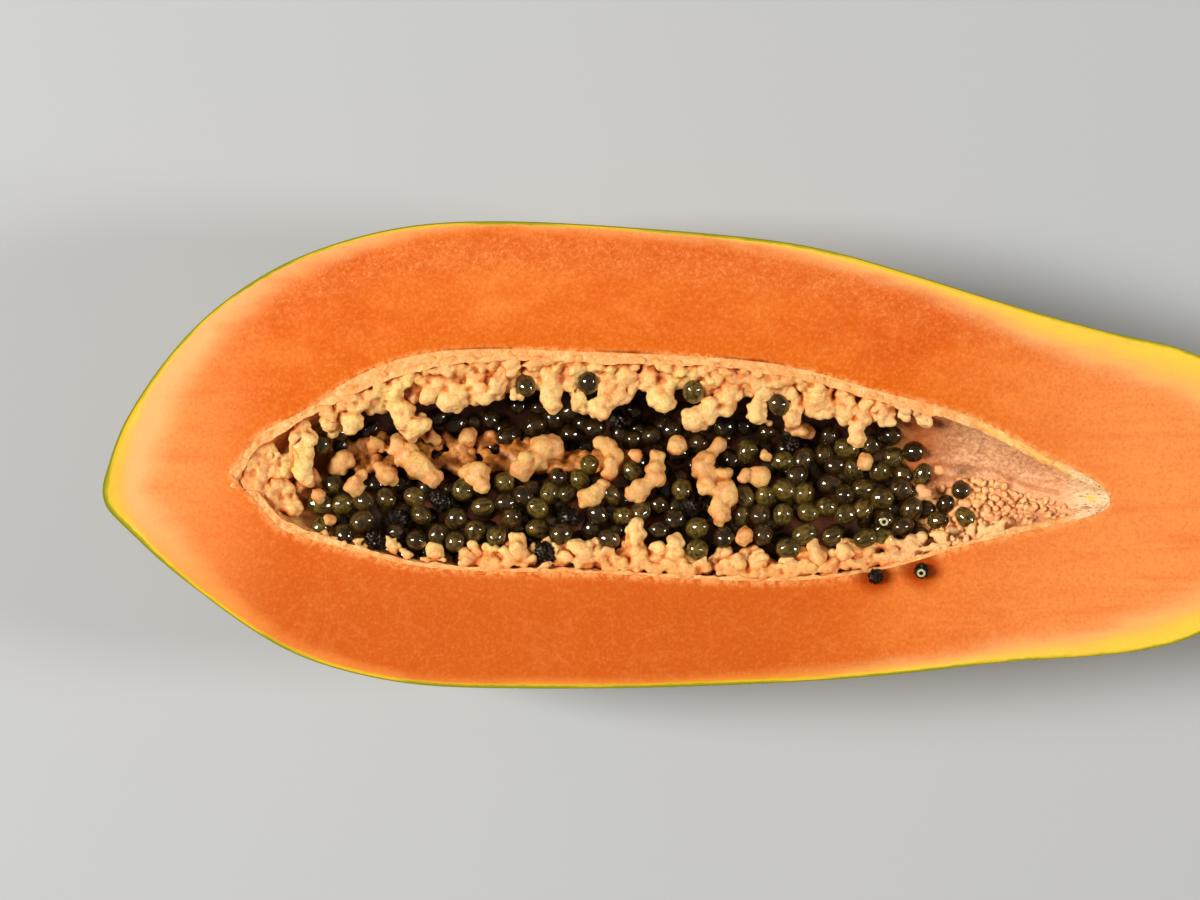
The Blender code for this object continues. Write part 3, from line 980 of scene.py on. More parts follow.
def clear_of_seeds(blobs):
    """The balls that do not run into the seeds set among the lumps."""
    seeds = [Vector((x * MM, y * MM, FACE - sunk * MM))
             for x, y, sunk in PLACED_SEEDS + BARE_PLACED if sunk]
    kept = []
    for centre, radius in blobs:
        if all((centre - seed).length > 0.86 * (radius + 2.9 * MM) for seed in seeds):
            kept.append((centre, radius))
    return kept


def rim_y(wall, side, x):
    """Y of the upper (1) or lower (-1) rim of the hollow at x, in millimetres."""
    column = 0 if side > 0 else -1
    return np.interp(x * MM, wall[:, column, 0], wall[:, column, 1]) / MM


def in_a_hole(x, y, holes):
    return any(((x - hx) / rx) ** 2 + ((y - hy) / ry) ** 2 < 1 for hx, hy, rx, ry in holes)


def crust_blobs(rng, wall):
    """Crumbs along the rim of the hollow, in clumps with gaps between them."""
    blobs = []
    for low, high, side, near, far, small, large, per_mm, depth, drop in CRUST:
        for _ in range(int((high - low) * per_mm)):
            x = rng.uniform(low, high)
            reach = 0.55 + 0.9 * noise.noise((x / 6, side * 3.0, near))
            away = near + (far - near) * rng.random() * max(0.25, min(1.3, 0.55 + reach))
            radius = rng.uniform(small, large) * rng.uniform(0.7, 1.0)
            y = rim_y(wall, side, x) - side * (away + 0.6 * radius)
            if y > rim_y(wall, 1, x) - 0.8 or y < rim_y(wall, -1, x) + 0.3:
                continue
            clump = noise.noise((x / 3.2, y / 3.2, low))
            if clump < (-0.02 if depth < 1 else -0.38) or in_a_hole(x, y, HOLES):
                continue
            z = -depth - drop * (away - near) + 0.8 * clump + rng.uniform(-0.4, 0.4) - 0.3 * radius
            blobs.append(ball(x, y, FACE + min(z, 0.25 - radius) * MM, radius))
    return blobs


def tissue_blobs(rng):
    places, middles, halves = zip(*TISSUE)
    blobs = []
    for _ in range(300):
        x = rng.uniform(places[0], places[-1])
        half = np.interp(x, places, halves)
        y = np.interp(x, places, middles) + rng.uniform(-half, half)
        radius = rng.uniform(1.0, 2.1)
        z = heap_level(x, y) - rng.uniform(2.9, 4.6) * MM
        blobs.append(ball(x, y, z, radius))
    return blobs


def end_blobs(rng, wall):
    """The mass of pulp that slopes down from the rim at the blossom end."""
    blobs = []
    for _ in range(170):
        x = rng.uniform(-122, -109)
        y = rng.uniform(rim_y(wall, -1, x) + 0.3, rim_y(wall, 1, x) - 0.3)
        radius = rng.choice((rng.uniform(0.9, 1.4), rng.uniform(1.9, 2.7)))
        grown = [(hx, hy, rx + 0.8 * radius, ry + 0.8 * radius) for hx, hy, rx, ry in HOLES[:1]]
        if in_a_hole(x, y, grown) or x > -113 and y < -6.5:
            continue
        depth = 0.3 + 0.24 * (x + 121) + 0.6 * noise.noise((x / 4, y / 4, 3.0)) + rng.uniform(0, 0.3)
        z = FACE - (max(0.1, depth) + radius) * MM
        blobs.append(ball(x, y, z, radius))
    return blobs


def grain_blobs(rng, wall, wall_tree):
    """Small lumps side by side on the floor of the trough."""
    blobs = []
    step = 1.8
    for i, x0 in enumerate(np.arange(57, 101, step * 0.90)):
        low = rim_y(wall, -1, x0) + 0.8
        high = table(CARPET_EDGE, x0)
        for y0 in np.arange(low + (i % 2) * step / 2, high, step):
            x = x0 + rng.uniform(-0.6, 0.6)
            y = y0 + rng.uniform(-0.6, 0.6)
            radius = rng.uniform(0.90, 1.45) * np.interp(x, (72, 94), (1.12, 0.80))
            hit = drop(wall_tree, x * MM, y * MM)
            if hit is None or rng.random() < 0.07:
                continue
            lift = rng.uniform(-0.4, 0.45) * radius
            z = min(hit.z + lift * MM, FACE - radius * 1.45 * MM)
            blobs.append(ball(x, y, z, radius))
    return blobs


class Relief:
    """Heights of the pulp and of what lies under it, blurred, on a grid."""

    STEP = 0.5 * MM
    MARGIN = 6 * MM

    def __init__(self, blobs, wall_tree):
        self.low = (hollow_low.x - self.MARGIN, hollow_low.y - self.MARGIN)
        size = (hollow_high.x - hollow_low.x + 2 * self.MARGIN,
                hollow_high.y - hollow_low.y + 2 * self.MARGIN)
        columns, rows = (int(span / self.STEP) for span in size)
        self.xs = self.low[0] + np.arange(columns) * self.STEP
        self.ys = self.low[1] + np.arange(rows) * self.STEP
        self.heights = np.array([[self.ground(x, y, wall_tree) for y in self.ys] for x in self.xs])
        for centre, radius in blobs:
            self.raise_to(centre, radius)
        for axis in (0, 1):
            self.heights = self.blurred(self.heights, axis, 1.5 * MM / self.STEP)

    def ground(self, x, y, wall_tree):
        wall = drop(wall_tree, x, y)
        if wall is None:
            return FACE
        heap = heap_height(x, y)
        return max(wall.z, heap - 3 * MM) if heap else wall.z

    def raise_to(self, centre, radius):
        near_x = np.nonzero(abs(self.xs - centre.x) < radius)[0]
        near_y = np.nonzero(abs(self.ys - centre.y) < radius)[0]
        if len(near_x) == 0 or len(near_y) == 0:
            return
        window = np.ix_(near_x, near_y)
        gap = (self.xs[near_x, None] - centre.x) ** 2 + (self.ys[None, near_y] - centre.y) ** 2
        top = np.where(gap < radius ** 2, centre.z + np.sqrt(np.maximum(radius ** 2 - gap, 0)), -1)
        self.heights[window] = np.maximum(self.heights[window], np.minimum(top, FACE))

    def blurred(self, heights, axis, sigma):
        span, weights = kernel(sigma)
        padding = [(0, 0), (0, 0)]
        padding[axis] = (span, span)
        wide = np.pad(heights, padding, mode="edge")
        count = heights.shape[axis]
        return sum(w * np.take(wide, range(k, k + count), axis=axis) for k, w in enumerate(weights))

    def sunk(self, points):
        """How far each point is below the blurred heights, in millimetres."""
        u = np.clip((points[:, 0] - self.low[0]) / self.STEP, 0, len(self.xs) - 1.001)
        v = np.clip((points[:, 1] - self.low[1]) / self.STEP, 0, len(self.ys) - 1.001)
        i, j = u.astype(int), v.astype(int)
        u, v = u - i, v - j
        here = self.heights[i, j] * (1 - v) + self.heights[i, j + 1] * v
        beyond = self.heights[i + 1, j] * (1 - v) + self.heights[i + 1, j + 1] * v
        return (here * (1 - u) + beyond * u - points[:, 2]) / MM


def folds_of(bm, passes=5):
    """How hollow each point is: 0 on a knob, 0.5 flat, 1 deep in a fold."""
    bm.normal_update()
    hollow = []
    for vert in bm.verts:
        total = 0.0
        for edge in vert.link_edges:
            way = edge.other_vert(vert).co - vert.co
            total += way.dot(vert.normal) / max(way.length, 1e-9)
        hollow.append(total / max(1, len(vert.link_edges)))
    neighbours = [[edge.other_vert(vert).index for edge in vert.link_edges] for vert in bm.verts]
    for _ in range(passes):
        hollow = [0.5 * value + 0.5 * sum(hollow[k] for k in near) / max(1, len(near))
                  for value, near in zip(hollow, neighbours)]
    return np.clip(0.5 + np.array(hollow) * 2.0, 0, 1)


def melt_blobs(name, blobs, voxel, material, relief, rim_tree, sunk_of, on_heap=False):
    """One skin over all the balls, with lobes, wrinkles and fine relief.

    voxel is the size of its cells, and relief gives the heights of the lobes,
    the waves and the wrinkles, all in millimetres.
    """
    rng = random.Random(name)
    lobes, waves, wrinkles = (height * MM for height in relief)
    shape, polys = ovoid(16, 10)
    verts = []
    faces = []
    for centre, radius in blobs:
        offset = len(verts)
        turn = np.array(any_turn(rng))
        stretch = np.array([rng.uniform(0.80, 1.22) for _ in range(3)])
        verts.extend((shape * stretch) @ turn.T * radius + np.array(centre))
        faces.extend(tuple(k + offset for k in f) for f in polys)
    rough = bpy.data.meshes.new(name + "_balls")
    rough.from_pydata([tuple(v) for v in verts], [], faces)
    holder = bpy.data.objects.new(name + "_balls", rough)
    bpy.context.scene.collection.objects.link(holder)
    remesh = holder.modifiers.new("Remesh", "REMESH")
    remesh.mode = "VOXEL"
    remesh.voxel_size = voxel * MM
    soften = holder.modifiers.new("Smooth", "SMOOTH")
    soften.iterations = 2
    graph = bpy.context.evaluated_depsgraph_get()
    mesh = bpy.data.meshes.new_from_object(holder.evaluated_get(graph))
    bpy.data.objects.remove(holder)
    bm = bmesh.new()
    bm.from_mesh(mesh)
    bm.verts.ensure_lookup_table()
    bm.normal_update()
    for vert in bm.verts:
        warped = vert.co + 1.1 * MM * noise.noise_vector(vert.co / (2.6 * MM))
        nearest = noise.voronoi(warped / (2.6 * MM))[0][0]
        crease = 1 - 2.2 * abs(noise.noise(warped / (1.7 * MM)))
        lift = lobes * (0.42 - nearest ** 2) + waves * fbm(vert.co, 4.0 * MM, 3)
        lift -= wrinkles * max(0.0, crease)
        vert.co = vert.co + vert.normal * lift
        over = vert.co.z - (FACE - 0.4 * MM)
        if over > 0:
            vert.co.z -= over - 0.7 * MM * (1 - math.exp(-over / (0.7 * MM)))
    # How hollow each point is, for the painted shade in folds.
    folds = folds_of(bm)
    # Painted light: how far each point faces up.
    crown = smooth_step(0.45, 0.97, np.array([v.normal.z for v in bm.verts]))
    points = [v.co[:] for v in bm.verts]
    polys = [tuple(v.index for v in f.verts) for f in bm.faces]
    bm.free()
    bpy.data.meshes.remove(mesh)
    piece = new_piece(name, points, polys, LINING)
    piece.data.materials.append(material)
    x, y, z = np.array(points).T
    # sunk drives the painted light and painted shade of the pulp.
    sunk = sunk_of(np.array(points))
    away = np.array([rim_tree.find((p[0], p[1], FACE))[2] for p in points])
    reach = 0.0060 + 0.0020 * smooth_step(-0.010, -0.020, y)
    if on_heap:
        sunk = np.maximum(sunk, 0)
        low = np.array([heap_level(p[0] / MM, p[1] / MM) - p[2] for p in points])
        shade = 0.22 + 0.78 * smooth_step(0.4 * MM, 3.0 * MM, low)
    else:
        shade = smooth_step(3.8 * MM, 10.5 * MM, FACE - z)
    paint(
        piece.data,
        fold=folds,
        sunk=sunk,
        crown=crown,
        root=smooth_step(1.0, 0.08, away / reach) * smooth_step(0.064, 0.052, x),
        shade=shade * smooth_step(0.062, 0.055, x),
        blush=0.7 * smooth_step(0.040, 0.066, x),
    )


def heap_height(x, y):
    hit = drop(trees[HEAP], x, y, 0.05)
    return hit.z if hit else None


def heap_level(x, y):
    for shrink in (1.0, 0.93, 0.86, 0.76, 0.66, 0.5):
        height = heap_height(x * MM, y * MM * shrink)
        if height is not None:
            return height
    return FACE - 6 * MM


def make_grains(grains, material):
    """Separate small lumps side by side, with painted shade low down on each, where they meet."""
    rng = random.Random(17)
    shape, polys = ovoid(12, 9)
    verts = []
    faces = []
    sunk = []
    for centre, radius in grains:
        offset = len(verts)
        turn = np.array(any_turn(rng))
        stretch = np.array([rng.uniform(0.90, 1.50), rng.uniform(0.75, 1.05), rng.uniform(0.75, 1.05)])
        ball = (shape * stretch) @ turn.T * radius
        for point in ball:
            knob = noise.noise((Vector(point) + centre) / (0.9 * MM))
            verts.append(np.array(centre) + point * (1 + 0.55 * knob))
        # Painted shade: the lower on each grain, the more sunk.
        sunk.extend(1.10 - 2.2 * ball[:, 2] / radius)
        faces.extend(tuple(k + offset for k in f) for f in polys)
    piece = new_piece("pulp_grains", [tuple(v) for v in verts], faces, LINING)
    piece.data.materials.append(material)
    even = np.ones(len(verts))
    # Grains: an even share of painted top light, and a fold value with no painted fold shade.
    paint(piece.data, fold=0.4 * even, crown=0.3 * even, root=0 * even, shade=0 * even, blush=0.7 * even,
          sunk=sunk)


def make_lumps(wall, wall_tree):
    rng = random.Random(5)
    pulp = pulp_material()
    rim_tree = point_tree([(x, y, FACE) for x, y, z in rim_loop(wall)])
    hanging = []
    for x0, y0, x1, y1, width in RIM_LUMPS:
        top = FACE - width / 2 * MM
        start = (x0 * MM, y0 * MM, top - 0.8 * MM)
        end = (x1 * MM, y1 * MM, top - rng.uniform(0.6, 2.2) * MM)
        hanging += lump_blobs(rng, start, end, width * MM)
    for _ in range(20):
        x = rng.uniform(-92, 40)
        edge = rim_y(wall, 1, x)
        width = rng.uniform(3.2, 5.4)
        start = (x * MM, (edge - 3.0) * MM, FACE - 5.5 * MM)
        end = ((x + rng.uniform(-2, 2)) * MM, (edge - rng.uniform(5.5, 9)) * MM,
               FACE - rng.uniform(6, 9) * MM)
        hanging += lump_blobs(rng, start, end, width * MM)
    for x0, y0, x1, y1, width in LOWER_LUMPS:
        top = FACE - width / 2 * MM
        start = (x0 * MM, y0 * MM, top - 0.5 * MM)
        end = (x1 * MM, y1 * MM, top - 0.2 * MM)
        hanging += lump_blobs(rng, start, end, width * MM)
    hanging = [(c, r) for c, r in clear_of_seeds(hanging) if not in_a_hole(c.x / MM, c.y / MM, HOLES[:1])]
    crust = clear_of_seeds(crust_blobs(rng, wall) + end_blobs(rng, wall))
    tissue = tissue_blobs(rng)
    loose = []
    for x0, y0, x1, y1, width in LOOSE_LUMPS:
        start = (x0 * MM, y0 * MM, heap_level(x0, y0) + 0.5 * MM)
        end = (x1 * MM, y1 * MM, heap_level(x1, y1) + 0.5 * MM)
        loose += lump_blobs(rng, start, end, width * MM)
    grains = grain_blobs(rng, wall, wall_tree)
    sunk = Relief(hanging + crust + tissue + loose + grains, wall_tree).sunk

    melt_blobs("pulp_lumps_rim", hanging, 0.46, pulp, (0.62, 0.34, 0.12), rim_tree, sunk)
    melt_blobs("pulp_crust", crust, 0.47, pulp, (0.36, 0.44, 0.16), rim_tree, sunk)
    melt_blobs("pulp_tissue", tissue, 0.52, tissue_material(), (0.25, 0.50, 0.12), rim_tree, sunk)
    melt_blobs("pulp_lumps_loose", loose, 0.50, pulp, (0.58, 0.34, 0.10), rim_tree, sunk, on_heap=True)
    make_grains(grains, pulp)
    return hanging, loose + tissue


# ---------------------------------------------------------------- seeds

# Seeds that lie on the lining or among the lumps: x, y and how far the
# seed's middle is below the face, or None where it rests on the lining.
PLACED_SEEDS = (
    (-45.8, 18.8, 3.5), (-28.8, 19.3, 3.5), (-0.3, 17.0, 3.5), (23, 13.4, 4), (-95, -21.6, 3.4),
    (-75.4, -23.2, 3.2), (-64.9, -23.6, 3.2), (-23.2, -22.9, 3.2), (0.8, -25.8, 2.8),
    (25.4, -25.5, 3.0), (46.3, -22.7, 3.2), (37.3, -22.2, 4), (-53.7, -22, 3.6), (18.4, -21.8, 4.6),
    (-59.6, -20.9, 4.4), (-101.4, -19.6, 4.2), (-90.2, -18.2, 4.4), (-36.2, -21.5, 3.6),
    (8.1, -22.3, 4.2), (30, -21.6, 4.2), (-69.8, -21.8, 4.2), (-81, -21.4, 4.8), (58.7, -19.7, None),
    (67, -18.2, None), (74.3, -17.4, None), (73.3, -9.7, None), (69.2, -13.6, None),
    (58.2, -10.6, None), (63.1, -5.6, None), (60.4, 0.8, None), (55, -0.8, None), (53.8, 5.1, None),
    (63.6, -15.2, None), (44, 8, 8),
)
# Seeds on top of the heap: x and y
TOP_SEEDS = (
    (-101.9, -13.6), (-98.5, -8.2), (-90.2, -12.6), (-97, 3), (-89.2, 7), (-102, 2.5), (-80.3, -17.6),
    (-74.4, -16.4), (-64.9, -17.6), (-63, -9.6), (-51.3, -13.1), (-49.8, -17.4), (-57.5, -14.2),
    (-69.2, -12.4), (-76, -11.6), (-84, -11.8), (-50.8, 5), (-28.4, -2.9), (-37.2, -6.3),
    (-22.6, -11.1), (-20.6, 9.8), (-48.4, 13.7), (0.8, -20.1), (17.9, -16.3), (24.2, -16.3),
    (13.5, -11.4), (31, -15.8), (41.2, -16.3), (37.3, -8), (46.1, -9.5), (43.8, -4.1), (35.8, 0),
    (27.1, 2.7), (42.2, 1.7), (14.9, 0.8), (51.9, -17.7), (51.4, -11.8), (-14.5, -15.5), (-34, -17),
    (-42.6, -14.6), (24.6, -9.6), (20.4, 6.4), (-9.6, -20.6),
)
BARE_PLACED = ((-40.6, -26.6, 2.4), (-86.3, -23.1, 2.8))
# Of the seeds on top, the ones without their coat, and the one with a pale ring
BARE_TOP = (6, 13, 20, 32, 38)
RINGED_TOP = 35


def ovoid(segments, rings):
    bm = bmesh.new()
    bmesh.ops.create_uvsphere(bm, u_segments=segments, v_segments=rings, radius=1)
    points = np.array([v.co[:] for v in bm.verts])
    faces = [tuple(v.index for v in f.verts) for f in bm.faces]
    bm.free()
    return points, faces


def join_copies(name, shapes, places, material, value_name=None):
    """One mesh of many copies; each place is (shape index, 4x4 matrix, tone)."""
    verts = []
    faces = []
    values = []
    tones = []
    offset = 0
    for index, matrix, tone in places:
        points, polys, marks = shapes[index]
        m = np.array(matrix)
        verts.append(points @ m[:3, :3].T + m[:3, 3])
        faces.extend(tuple(k + offset for k in f) for f in polys)
        values.append(marks)
        tones.append(np.full(len(points), tone))
        offset += len(points)
    piece = new_piece(name, np.concatenate(verts), faces, HEAP)
    piece.data.materials.append(material)
    paint(piece.data, tone=np.concatenate(tones))
    if value_name:
        paint(piece.data, **{value_name: np.concatenate(values)})
    return piece


def smooth_seed(segments, rings):
    points, faces = ovoid(segments, rings)
    return points, faces, np.zeros(len(points))


def wrinkled(segments, rings, ridges, depth, seed):
    """Inner seed: ridges from end to end, broken into knobs."""
    points, faces = ovoid(segments, rings)
    shift = Vector((seed * 7.3, seed * 3.1, seed * 5.7))
    grooves = np.zeros(len(points))
    for k, p in enumerate(points):
        turn = math.atan2(p[1], p[0])
        wave = abs(math.sin(turn * ridges / 2 + 1.8 * noise.noise(Vector(p) * 1.8 + shift)))
        knob = 0.5 + 0.5 * noise.noise(Vector(p) * 4.5 + shift)
        around = math.sqrt(max(0.0, 1 - p[2] ** 2))
        groove = (1 - wave) * 0.5 + knob * 0.8
        grooves[k] = groove
        points[k] = p * (1 - depth * groove * (0.3 + 0.7 * around))
    return points, faces, grooves


def knobbly(segments, rings, seed):
    """Bare seed: rows of small bumps all over."""
    points, faces = ovoid(segments, rings)
    shift = Vector((seed * 5.1, seed * 2.7, seed * 9.3))
    for k, p in enumerate(points):
        near, second = noise.voronoi(Vector(p) * 3.0 + shift)[0][:2]
        bump = min(1.0, 2.2 * (second - near))
        points[k] = p * (0.68 + 0.37 * bump)
    return points, faces, np.zeros(len(points))


def ring_shape(segments, sides):
    """A flat ring around Z with a dot in its middle."""
    points = []
    faces = []
    for i in range(segments):
        turn = math.tau * i / segments
        for j in range(sides):
            tilt = math.tau * j / sides
            reach = 1 + 0.36 * math.cos(tilt)
            points.append((reach * math.cos(turn), reach * math.sin(turn), 0.30 * math.sin(tilt)))
    for i in range(segments):
        for j in range(sides):
            n, m = (i + 1) % segments, (j + 1) % sides
            faces.append((i * sides + j, n * sides + j, n * sides + m, i * sides + m))
    return np.array(points), faces, np.zeros(len(points))


def seed_size(rng):
    return rng.uniform(2.65, 3.1) * MM


class Pile:
    """Balls let down one by one, each rolling to a low place near by."""

    CELL = 7.5 * MM
    # The heap's border towards the trough: x and the largest y with seeds
    RIGHT_EDGE = ((48, 30), (52, 6), (57, -4), (63, -12), (70, -30))

    def __init__(self, wall_tree):
        self.wall_tree = wall_tree
        self.cells = {}
        self.tops = {}

    def add(self, centre, radius):
        key = (math.floor(centre.x / self.CELL), math.floor(centre.y / self.CELL))
        self.cells.setdefault(key, []).append((centre.x, centre.y, centre.z, radius))

    def top(self, x, y):
        """Height of the heap's top, kept on a fine grid. None outside the hollow."""
        key = (round(x / (0.5 * MM)), round(y / (0.5 * MM)))
        if key not in self.tops:
            wall = drop(self.wall_tree, x, y)
            inside = SEEDS_LOW_X < x < SEEDS_HIGH_X and wall is not None and wall.z < FACE - 2.0 * MM
            inside = inside and y / MM < table(self.RIGHT_EDGE, x / MM)
            self.tops[key] = (heap_level(x / MM, y / MM), wall.z) if inside else None
        return self.tops[key]

    def near(self, x, y):
        column, row = math.floor(x / self.CELL), math.floor(y / self.CELL)
        for i in (column - 1, column, column + 1):
            for j in (row - 1, row, row + 1):
                yield from self.cells.get((i, j), ())

    def free(self, spot, radius):
        """True if a ball at the spot touches none of the others."""
        for x, y, z, r in self.near(spot.x, spot.y):
            if (spot - Vector((x, y, z))).length < (radius + r) * 0.90:
                return False
        return True

    def rest(self, x, y, radius):
        """Height over the heap's top at which a ball at (x, y) comes to rest."""
        place = self.top(x, y)
        if place is None:
            return None
        top, wall = place
        z = max(top - 8.5 * MM + radius, wall + radius * 1.1)
        for cx, cy, cz, r in self.near(x, y):
            reach = (radius + r) * 0.93
            gap = (x - cx) ** 2 + (y - cy) ** 2
            if gap < reach * reach:
                z = max(z, cz + math.sqrt(reach * reach - gap))
        return z - top

    def settle(self, x, y, radius):
        best = self.rest(x, y, radius)
        if best is None:
            return None
        step = 1.8 * MM
        while step > 0.2 * MM:
            moves = [(x + step * math.cos(turn), y + step * math.sin(turn))
                     for turn in np.linspace(0, math.tau, 8, endpoint=False)]
            heights = [self.rest(*move, radius) for move in moves]
            found = [(h, m) for h, m in zip(heights, moves) if h is not None and h < best - 0.02 * MM]
            if found:
                best, (x, y) = min(found)
            else:
                step /= 2
        return Vector((x, y, best + self.top(x, y)[0])), best


# Where seeds may lie, and how long the two fills go on
SEEDS_LOW_X = heap_low.x - 4 * MM
SEEDS_HIGH_X = heap_high.x + 3 * MM
FIRST_TRIES = 2600
MOST_MISSES = 500
MOST_SEEDS = 400


def pile_seeds(rng, fixed, lumps, wall_tree):
    pile = Pile(wall_tree)
    for centre, radius in fixed:
        pile.add(centre, radius)
    for centre, radius in lumps:
        if radius > 1.2 * MM:
            pile.add(centre, radius)
    seeds = []
    for _ in range(FIRST_TRIES):
        x = rng.uniform(SEEDS_LOW_X, SEEDS_HIGH_X)
        y = rng.uniform(heap_low.y - 3 * MM, heap_high.y + 3 * MM)
        place = pile.top(x, y)
        if place is None:
            continue
        radius = seed_size(rng)
        spot = Vector((x, y, max(place[0] - 7.8 * MM, place[1] + radius * 1.1)))
        if spot.z + radius < place[0] + 0.8 * MM and pile.free(spot, radius):
            pile.add(spot, radius)
            seeds.append((spot, radius))
    misses = 0
    while misses < MOST_MISSES and len(seeds) < MOST_SEEDS:
        x = rng.uniform(SEEDS_LOW_X, SEEDS_HIGH_X)
        y = rng.uniform(heap_low.y - 3 * MM, heap_high.y + 3 * MM)
        radius = seed_size(rng)
        found = pile.settle(x, y, radius)
        if found is None or found[1] + radius > 1.2 * MM:
            misses += 1
            continue
        misses = 0
        pile.add(found[0], radius)
        seeds.append((found[0], radius))
    return seeds


def choose_seeds(rng, lumps, wall_tree):
    """Where every seed goes, as (middle, radius, kind)."""
    placed = []
    for x, y, sunk in PLACED_SEEDS + BARE_PLACED:
        radius = seed_size(rng)
        if sunk is None:
            hit = drop(wall_tree, x * MM, y * MM)
            z = hit.z + radius * 0.9
        else:
            z = FACE - sunk * MM
        kind = "bare" if len(placed) >= len(PLACED_SEEDS) else "coated"
        placed.append((Vector((x * MM, y * MM, z)), radius, kind))
    for k, (x, y) in enumerate(TOP_SEEDS):
        radius = seed_size(rng)
        z = heap_level(x, y) - radius + rng.uniform(0.2, 0.9) * MM
        kind = "bare" if k in BARE_TOP else "ringed" if k == RINGED_TOP else "coated"
        placed.append((Vector((x * MM, y * MM, z)), radius, kind))
    spots = [(place, radius) for place, radius, _ in placed]
    for place, radius in pile_seeds(rng, spots, lumps, wall_tree):
        placed.append((place, radius, "bare" if rng.random() < 0.03 else "coated"))
    for k, (x, y) in enumerate(STUCK_SEEDS):
        placed.append((Vector((x * MM, y * MM, FACE + 1.1 * MM)), 2.35 * MM, ("bare", "ringed bare")[k]))
    return placed


def stretched(radius, aspect):
    return Matrix.Diagonal((radius, radius, radius * aspect, 1))


def make_seeds(lumps, wall_tree):
    rng = random.Random(11)
    placed = choose_seeds(rng, lumps, wall_tree)
    cores = [wrinkled(18, 12, 8, 0.18, k) for k in range(5)]
    bare = [knobbly(44, 28, k + 10) for k in range(4)]
    gel_places, core_places, bare_places, ring_places = [], [], [], []
    for place, radius, kind in placed:
        turn = any_turn(rng).to_4x4()
        aspect = rng.uniform(1.10, 1.30)
        if place.z > FACE or "ringed" in kind:
            spin = 0 if "ringed" in kind else len(bare_places)
            turn = Euler((0.25, -0.15, spin)).to_matrix().to_4x4()
            aspect = 1.0
        move = Matrix.Translation(place) @ turn
        if "ringed" in kind:
            ring = Matrix.Translation((0, 0, radius * 0.90)) @ Matrix.Scale(0.85 * MM, 4)
            ring_places.append((0, move @ ring, 0.0))
        tone = rng.uniform(0, 1)
        # Painted shade in tone: seeds deep in the hollow are darker under the upper rim, and darker the
        # further they lie below the heap's top.
        if place.z < FACE - 5 * MM:
            tone *= 1 - 0.9 * float(smooth_step(-2 * MM, 8 * MM, place.y))
            tone *= float(smooth_step(6.5 * MM, 3.0 * MM, heap_level(place.x / MM, place.y / MM) - place.z))
        if "bare" in kind:
            bare_places.append((rng.randrange(len(bare)), move @ stretched(radius * 0.97, aspect), tone))
            continue
        gel_places.append((0, move @ stretched(radius, aspect), tone))
        core_places.append((rng.randrange(len(cores)), move @ stretched(radius * 0.80, aspect), tone))
    coats = join_copies("seed_gel_coats", [smooth_seed(18, 12)], gel_places, gel_material())
    coats.visible_shadow = False
    join_copies("seed_inners", cores, core_places, seed_core_material(), "groove")
    join_copies("seeds_bare", bare, bare_places, bare_seed_material())
    join_copies("seed_rings", [ring_shape(20, 8)], ring_places, ring_material())


def make_core():
    """Dark pulp under the seeds, a slab well below the heap's top; its dark is partly the pulp's own
    colour, partly painted shade of the gaps between the seeds.
    """
    step = 1.2 * MM
    xs = np.arange(heap_low.x - 4 * MM, heap_high.x + 12 * MM, step)
    ys = np.arange(heap_low.y - 4 * MM, heap_high.y + 4 * MM, step)
    tops = np.full((len(xs), len(ys)), np.nan)
    for i, x in enumerate(xs):
        for j, y in enumerate(ys):
            h = heap_height(x, y)
            if h is not None:
                tops[i, j] = h - 9.0 * MM
    index = {}
    verts = []
    for i, x in enumerate(xs):
        for j, y in enumerate(ys):
            z = tops[i, j]
            if np.isnan(z):
                near = tops[max(0, i - 1):i + 2, max(0, j - 1):j + 2]
                if np.isnan(near).all():
                    continue
                z = np.nanmean(near)
            z += 1.2 * MM * fbm((x, y, 0), 7 * MM, 3)
            index[(i, j)] = len(verts)
            verts.append((x, y, z))
    count = len(verts)
    verts += [(x, y, z - 3 * MM) for x, y, z in verts]
    faces = []
    border = {}
    for (i, j), a in index.items():
        b, c, d = (index.get(k) for k in ((i + 1, j), (i + 1, j + 1), (i, j + 1)))
        if None in (b, c, d):
            continue
        faces.append((a, b, c, d))
        faces.append((d + count, c + count, b + count, a + count))
        for edge in ((a, b), (b, c), (c, d), (d, a)):
            border[edge] = border.get(edge, 0) + 1
    for (a, b) in list(border):
        if (b, a) not in border:
            faces.append((b, a, a + count, b + count))
    piece = new_piece("seed_heap_core", verts, faces, HEAP)
    piece.data.materials.append(core_material())


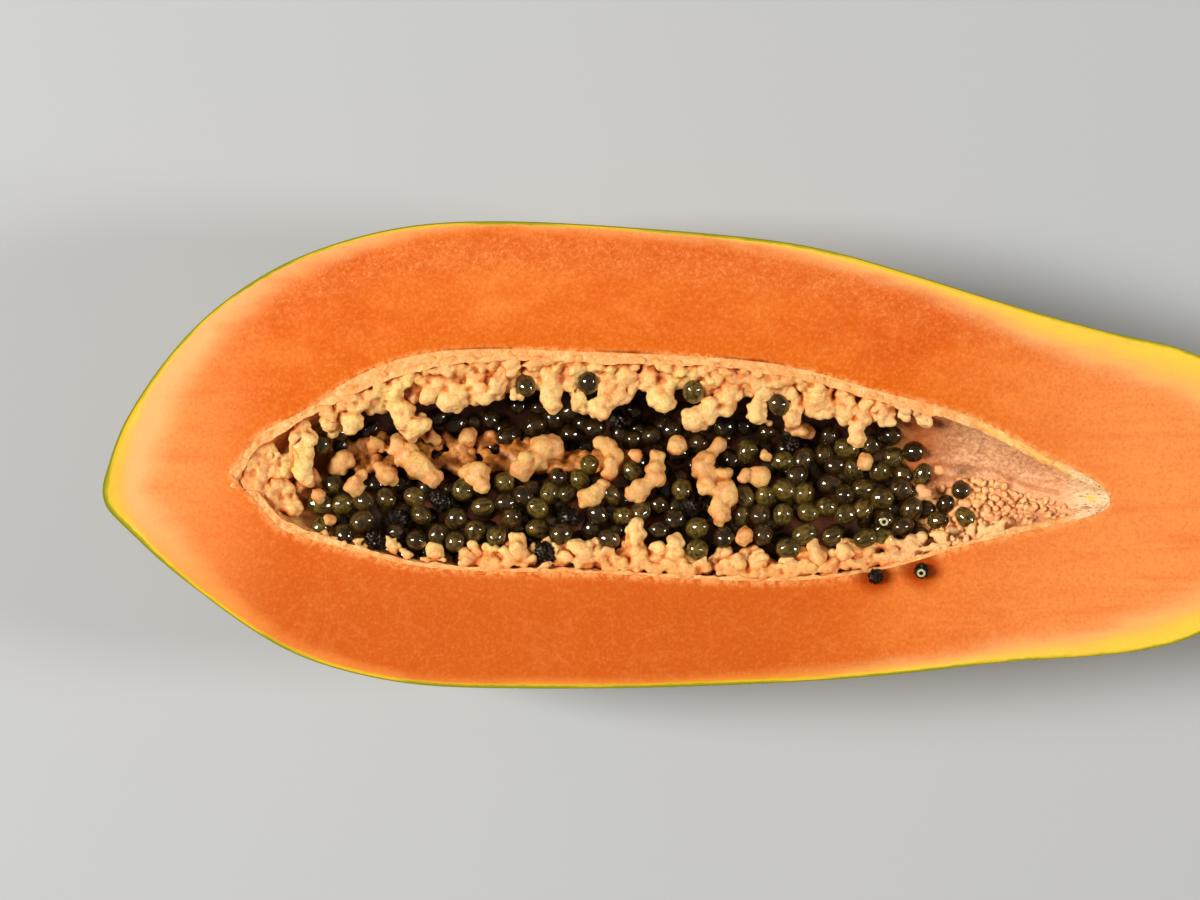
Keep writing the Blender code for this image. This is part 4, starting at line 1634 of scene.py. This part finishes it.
# ---------------------------------------------------------------- stage

FLOOR_SIZE = 6
WORLD_STRENGTH = 0.13
LIT_POINT = (-0.02, 0, FACE)
LIGHT_DISTANCE = 2.0
# Softboxes: name, the way to it, width, height and power
SOFTBOXES = (
    ("left", (-0.72, 0.06, 0.66), 0.50, 0.95, 54),
    ("right", (0.86, -0.05, 0.46), 0.36, 0.70, 24),
)
CAMERA_X = -0.0256
CAMERA_Y = 0.0012
VIEW_WIDTH = 0.324            # taken in at the level of the cut face


def make_lights():
    world = bpy.data.worlds.new("studio")
    bpy.context.scene.world = world
    world.use_nodes = True
    background = world.node_tree.nodes["Background"]
    background.inputs["Color"].default_value = (1, 1, 1, 1)
    background.inputs["Strength"].default_value = WORLD_STRENGTH
    for name, way, width, height, power in SOFTBOXES:
        light = bpy.data.lights.new(name, "AREA")
        light.shape = "RECTANGLE"
        light.size = width
        light.size_y = height
        light.energy = power
        lamp = bpy.data.objects.new(name, light)
        lamp.location = Vector(LIT_POINT) + Vector(way).normalized() * LIGHT_DISTANCE
        lamp.rotation_euler = (-Vector(way)).to_track_quat("-Z", "Y").to_euler()
        bpy.context.scene.collection.objects.link(lamp)


def make_camera():
    """Looks straight down on the cut face."""
    camera = bpy.data.cameras.new("camera")
    camera.sensor_width = 36
    camera.lens = 85
    rig = bpy.data.objects.new("camera", camera)
    rig.location = (CAMERA_X, CAMERA_Y, FACE + camera.lens / camera.sensor_width * VIEW_WIDTH)
    bpy.context.scene.collection.objects.link(rig)
    bpy.context.scene.camera = rig


def make_stage():
    bpy.ops.mesh.primitive_plane_add(size=FLOOR_SIZE, location=(0, 0, 0))
    floor = bpy.context.object
    floor.name = "floor"
    floor.data.materials.append(floor_material())
    make_lights()
    make_camera()
    bpy.context.scene.view_settings.view_transform = "Standard"


cavity_grid = make_flesh()
lining_tree, hollow_wall = make_lining(cavity_grid)
make_core()
hanging_lumps, loose_lumps = make_lumps(hollow_wall, lining_tree)
make_seeds(loose_lumps + hanging_lumps, lining_tree)
make_stage()
